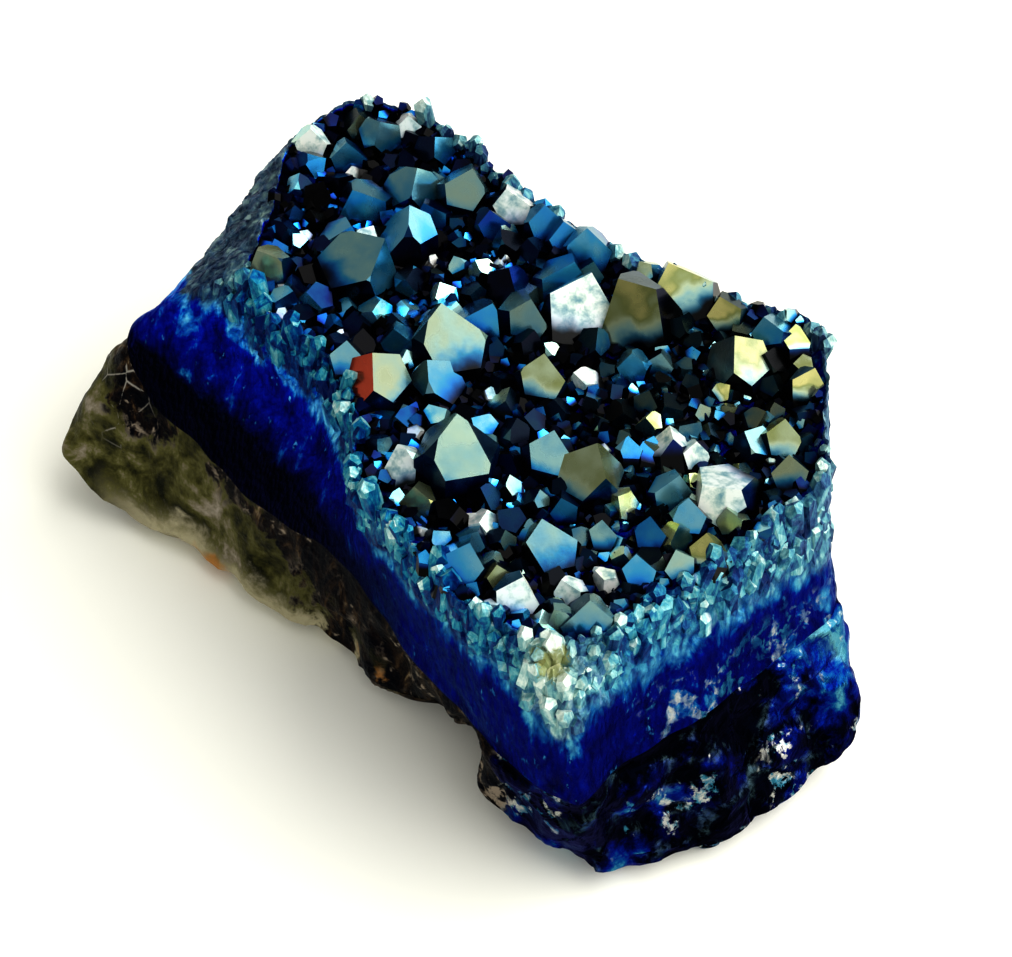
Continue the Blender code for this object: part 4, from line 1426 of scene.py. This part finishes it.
def wall_surface(columns):
    """The quartz wall as an open surface, with room for columns only in the pale band."""
    grid = np.array(quartz_rings(columns))
    rows = len(grid)
    sunk = grid - WALL_COLUMN_SINK * surface_normals(grid)
    flat = sunk.reshape(-1, 3)
    band = flat[:, 2] - over_rows(WALL_LOOKS, 0, columns, rows)
    pale = over_rows(WALL_LOOKS, 1, columns, rows)
    grey = over_rows(WALL_LOOKS, 2, columns, rows)
    below_rim = np.tile(grid[-1, :, 2], rows) - flat[:, 2]
    growth = smoothstep((band - 0.2) / 1.4) * smoothstep((below_rim - 0.1) / 0.8)
    growth = growth * smoothstep((pale - 0.1) / 0.2) * (1.0 - smoothstep((grey - 0.45) / 0.35))
    layers = {
        "growth": growth,
        "band": band,
        "pale": pale,
        "grey": grey,
        "groove": np.ones(len(flat)),
    }
    return open_surface("wall_surface", sunk, layers)


# Settings, operators and panel.


class GeodeRockSettings(bpy.types.PropertyGroup):
    columns: bpy.props.IntProperty(
        name="Columns", description="Mesh columns between two stations", default=20, min=4, max=40
    )
    chip_size: bpy.props.FloatProperty(
        name="Chip size", description="Width of the large broken faces, in mm", default=9.0
    )
    chip_depth: bpy.props.FloatProperty(
        name="Chip depth", description="How far the broken faces stand in and out, in mm",
        default=1.15,
    )


class GeodeWallSettings(bpy.types.PropertyGroup):
    seed: bpy.props.IntProperty(name="Seed", description="Start of the random choices", default=5)
    columns: bpy.props.IntProperty(
        name="Columns", description="Mesh columns between two stations", default=26, min=4, max=40
    )
    column_width: bpy.props.FloatProperty(
        name="Column width", description="Width of the quartz columns, in mm", default=1.3
    )
    column_depth: bpy.props.FloatProperty(
        name="Column depth", description="How far the columns stand in and out, in mm", default=0.9
    )


class GeodePointSettings(bpy.types.PropertyGroup):
    seed: bpy.props.IntProperty(name="Seed", description="Start of the random choices", default=7)
    medium_spacing: bpy.props.FloatProperty(
        name="Medium spacing", description="Least distance between medium points",
        default=0.0026, unit="LENGTH",
    )
    medium_smallest: bpy.props.FloatProperty(
        name="Medium smallest", description="Least width of a medium point, in mm", default=1.9
    )
    medium_largest: bpy.props.FloatProperty(
        name="Medium largest", description="Most width of a medium point, in mm", default=3.4
    )
    tiny_spacing: bpy.props.FloatProperty(
        name="Tiny spacing", description="Least distance between tiny points",
        default=0.0011, unit="LENGTH",
    )
    tiny_smallest: bpy.props.FloatProperty(
        name="Tiny smallest", description="Least width of a tiny point, in mm", default=0.9
    )
    tiny_largest: bpy.props.FloatProperty(
        name="Tiny largest", description="Most width of a tiny point, in mm", default=1.8
    )
    lean: bpy.props.FloatProperty(
        name="Lean", description="Most that a small point leans", default=math.radians(32.0),
        subtype="ANGLE",
    )


class GeodeStageSettings(bpy.types.PropertyGroup):
    floor_colour: bpy.props.FloatVectorProperty(
        name="Floor", description="Colour of the floor", default=(0.9, 0.9, 0.82), size=3,
        subtype="COLOR",
    )
    sky: bpy.props.FloatProperty(
        name="Surroundings", description="Strength of the even light all round", default=0.4
    )
    key: bpy.props.FloatProperty(
        name="Key light", description="Power of the large lamp", default=9.0, unit="POWER"
    )
    fill: bpy.props.FloatProperty(
        name="Fill light", description="Power of the lamp beside the camera", default=1.5,
        unit="POWER",
    )


class GEODE_OT_host_rock(bpy.types.Operator):
    """Build the broken host rock"""

    bl_idname = "geode.host_rock"
    bl_label = "Host rock"

    def execute(self, context):
        settings = context.scene.geode_rock
        mesh = make_host_rock(settings.columns, settings.chip_size, settings.chip_depth)
        piece = new_piece("host_rock_fine", mesh, rock_material())
        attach(piece, ROOT)
        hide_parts("host_rock")
        return {"FINISHED"}


class GEODE_OT_quartz_wall(bpy.types.Operator):
    """Build the quartz walls and the bed under the crystals"""

    bl_idname = "geode.quartz_wall"
    bl_label = "Quartz wall"

    def execute(self, context):
        settings = context.scene.geode_wall
        mesh = make_quartz_wall(settings.columns, settings.column_width, settings.column_depth)
        piece = new_piece("quartz_wall", mesh, wall_material("quartz_wall"))
        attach(piece, ROOT)
        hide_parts("crystal_crust")
        return {"FINISHED"}


class GEODE_OT_large_points(bpy.types.Operator):
    """Build the large crystals"""

    bl_idname = "geode.large_points"
    bl_label = "Large points"

    def execute(self, context):
        mesh = make_large_points(context.scene.geode_points.seed)
        piece = new_piece("large_points", mesh, large_crystal_material())
        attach(piece, ROOT)
        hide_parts("crystal_crust")
        return {"FINISHED"}


def grow_on_crust(name, surface, material, shapes, values, upright=False):
    """One piece of crystals grown over a surface of the crust."""
    tree = growth_tree(name + "_growth", shapes, material, upright)
    piece = new_piece(name, grow(name, surface, tree, values))
    drop_shapes(shapes)
    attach(piece, ROOT)
    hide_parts("crystal_crust")


class GEODE_OT_medium_points(bpy.types.Operator):
    """Grow the medium crystals between the large ones"""

    bl_idname = "geode.medium_points"
    bl_label = "Medium points"

    def execute(self, context):
        settings = context.scene.geode_points
        material = small_crystal_material("coated_medium_points", *MEDIUM_FILM)
        grow_on_crust(
            "medium_points",
            bed_surface(MEDIUM_CROWDING, MEDIUM_INSET),
            material,
            point_shapes(8, settings.seed, 1.15),
            {
                "Spacing": settings.medium_spacing,
                "Smallest": settings.medium_smallest,
                "Largest": settings.medium_largest,
                "Lean": settings.lean,
                "Seed": settings.seed,
            },
        )
        return {"FINISHED"}


class GEODE_OT_tiny_points(bpy.types.Operator):
    """Grow the tiny crystals that fill the gaps"""

    bl_idname = "geode.tiny_points"
    bl_label = "Tiny points"

    def execute(self, context):
        settings = context.scene.geode_points
        material = small_crystal_material("coated_tiny_points", *TINY_FILM)
        grow_on_crust(
            "tiny_points",
            bed_surface(TINY_CROWDING, TINY_INSET),
            material,
            point_shapes(6, settings.seed + 2, 1.2),
            {
                "Spacing": settings.tiny_spacing,
                "Smallest": settings.tiny_smallest,
                "Largest": settings.tiny_largest,
                "Lean": 1.5 * settings.lean,
                "Seed": settings.seed + 2,
            },
        )
        return {"FINISHED"}


class GEODE_OT_wall_columns(bpy.types.Operator):
    """Grow broken upright columns along the pale band of the walls"""

    bl_idname = "geode.wall_columns"
    bl_label = "Wall columns"

    def execute(self, context):
        settings = context.scene.geode_wall
        width = settings.column_width
        grow_on_crust(
            "wall_columns",
            wall_surface(GROWTH_COLUMNS),
            wall_material("quartz_columns"),
            point_shapes(10, settings.seed, 3.0),
            {
                "Spacing": 0.75 * width * MM,
                "Smallest": 0.5 * width,
                "Largest": 1.45 * width,
                "Lean": math.radians(16.0),
                "Seed": settings.seed,
            },
            upright=True,
        )
        return {"FINISHED"}


FLOOR_HALF = 1.2
FLOOR_ROUGHNESS = 0.7
SKY_COLOUR = (1.0, 0.985, 0.95, 1.0)
# Place in metres, size in metres and colour of each lamp.
KEY_LAMP = ((0.34, 0.4, 0.52), 1.1, (1.0, 0.98, 0.95))
FILL_LAMP = ((0.5, -0.2, 0.45), 0.85, (0.95, 0.98, 1.0))
CAMERA_TARGET = Vector((1.0, 0.3, 15.0)) * MM
CAMERA_BACK = Vector((0.4648, -0.4813, 0.7431))
CAMERA_DISTANCE = 0.25
CAMERA_LENS = 85.0


def add_lamp(name, power, place, size, colour):
    """A soft square lamp that faces the geode."""
    lamp = bpy.data.lights.new(name, "AREA")
    lamp.shape = "SQUARE"
    lamp.size = size
    lamp.energy = power
    lamp.color = colour
    holder = bpy.data.objects.new(name, lamp)
    holder.location = place
    holder.rotation_euler = (Vector(place) - CAMERA_TARGET).to_track_quat("Z", "Y").to_euler()
    bpy.context.scene.collection.objects.link(holder)


class GEODE_OT_stage(bpy.types.Operator):
    """Set the floor, the lamps and the camera"""

    bl_idname = "geode.stage"
    bl_label = "Stage"

    def execute(self, context):
        settings = context.scene.geode_stage
        scene = context.scene
        scene.view_settings.view_transform = "Standard"
        scene.view_settings.look = "High Contrast"
        half = FLOOR_HALF
        mesh = bpy.data.meshes.new("floor")
        corners = [(-half, -half, 0.0), (half, -half, 0.0), (half, half, 0.0), (-half, half, 0.0)]
        mesh.from_pydata(corners, [], [(0, 1, 2, 3)])
        material, _, shader, _ = new_material("pale_floor")
        shader.inputs["Base Color"].default_value = (*settings.floor_colour, 1.0)
        shader.inputs["Roughness"].default_value = FLOOR_ROUGHNESS
        floor = new_piece("floor", mesh, material)
        world = bpy.data.worlds.new("studio")
        world.use_nodes = True
        sky = world.node_tree.nodes["Background"]
        sky.inputs["Color"].default_value = SKY_COLOUR
        sky.inputs["Strength"].default_value = settings.sky
        scene.world = world
        add_lamp("key_lamp", settings.key, *KEY_LAMP)
        add_lamp("fill_lamp", settings.fill, *FILL_LAMP)
        camera = bpy.data.cameras.new("camera")
        camera.lens = CAMERA_LENS
        holder = bpy.data.objects.new("camera", camera)
        holder.location = CAMERA_TARGET + CAMERA_BACK * CAMERA_DISTANCE
        holder.rotation_euler = CAMERA_BACK.to_track_quat("Z", "Y").to_euler()
        scene.collection.objects.link(holder)
        scene.camera = holder
        return {"FINISHED"}


class GEODE_PT_panel(bpy.types.Panel):
    """Sidebar panel with the geode's pieces"""

    bl_idname = "GEODE_PT_panel"
    bl_label = "Aura quartz geode"
    bl_space_type = "VIEW_3D"
    bl_region_type = "UI"
    bl_category = "Geode"

    def draw(self, context):
        scene = context.scene
        for settings, operators in PANEL_ROWS:
            box = self.layout.box()
            group = getattr(scene, settings)
            for name in group.bl_rna.properties.keys():
                if name not in ("rna_type", "name"):
                    box.prop(group, name)
            for operator in operators:
                box.operator(operator)


PANEL_ROWS = (
    ("geode_rock", ("geode.host_rock",)),
    ("geode_wall", ("geode.quartz_wall", "geode.wall_columns")),
    (
        "geode_points",
        ("geode.large_points", "geode.medium_points", "geode.tiny_points"),
    ),
    ("geode_stage", ("geode.stage",)),
)
SETTINGS = {
    "geode_rock": GeodeRockSettings,
    "geode_wall": GeodeWallSettings,
    "geode_points": GeodePointSettings,
    "geode_stage": GeodeStageSettings,
}
CLASSES = (
    *SETTINGS.values(),
    GEODE_OT_host_rock,
    GEODE_OT_quartz_wall,
    GEODE_OT_wall_columns,
    GEODE_OT_large_points,
    GEODE_OT_medium_points,
    GEODE_OT_tiny_points,
    GEODE_OT_stage,
    GEODE_PT_panel,
)


def register():
    for made in CLASSES:
        bpy.utils.register_class(made)
    for name, settings in SETTINGS.items():
        setattr(bpy.types.Scene, name, bpy.props.PointerProperty(type=settings))


def unregister():
    for name in SETTINGS:
        delattr(bpy.types.Scene, name)
    for made in reversed(CLASSES):
        bpy.utils.unregister_class(made)


def main():
    register()
    noise.seed_set(LUMP_SEED)
    bpy.ops.geode.host_rock()
    bpy.ops.geode.quartz_wall()
    bpy.ops.geode.wall_columns()
    bpy.ops.geode.large_points()
    bpy.ops.geode.medium_points()
    bpy.ops.geode.tiny_points()
    bpy.ops.geode.stage()


if __name__ == "__main__":
    main()
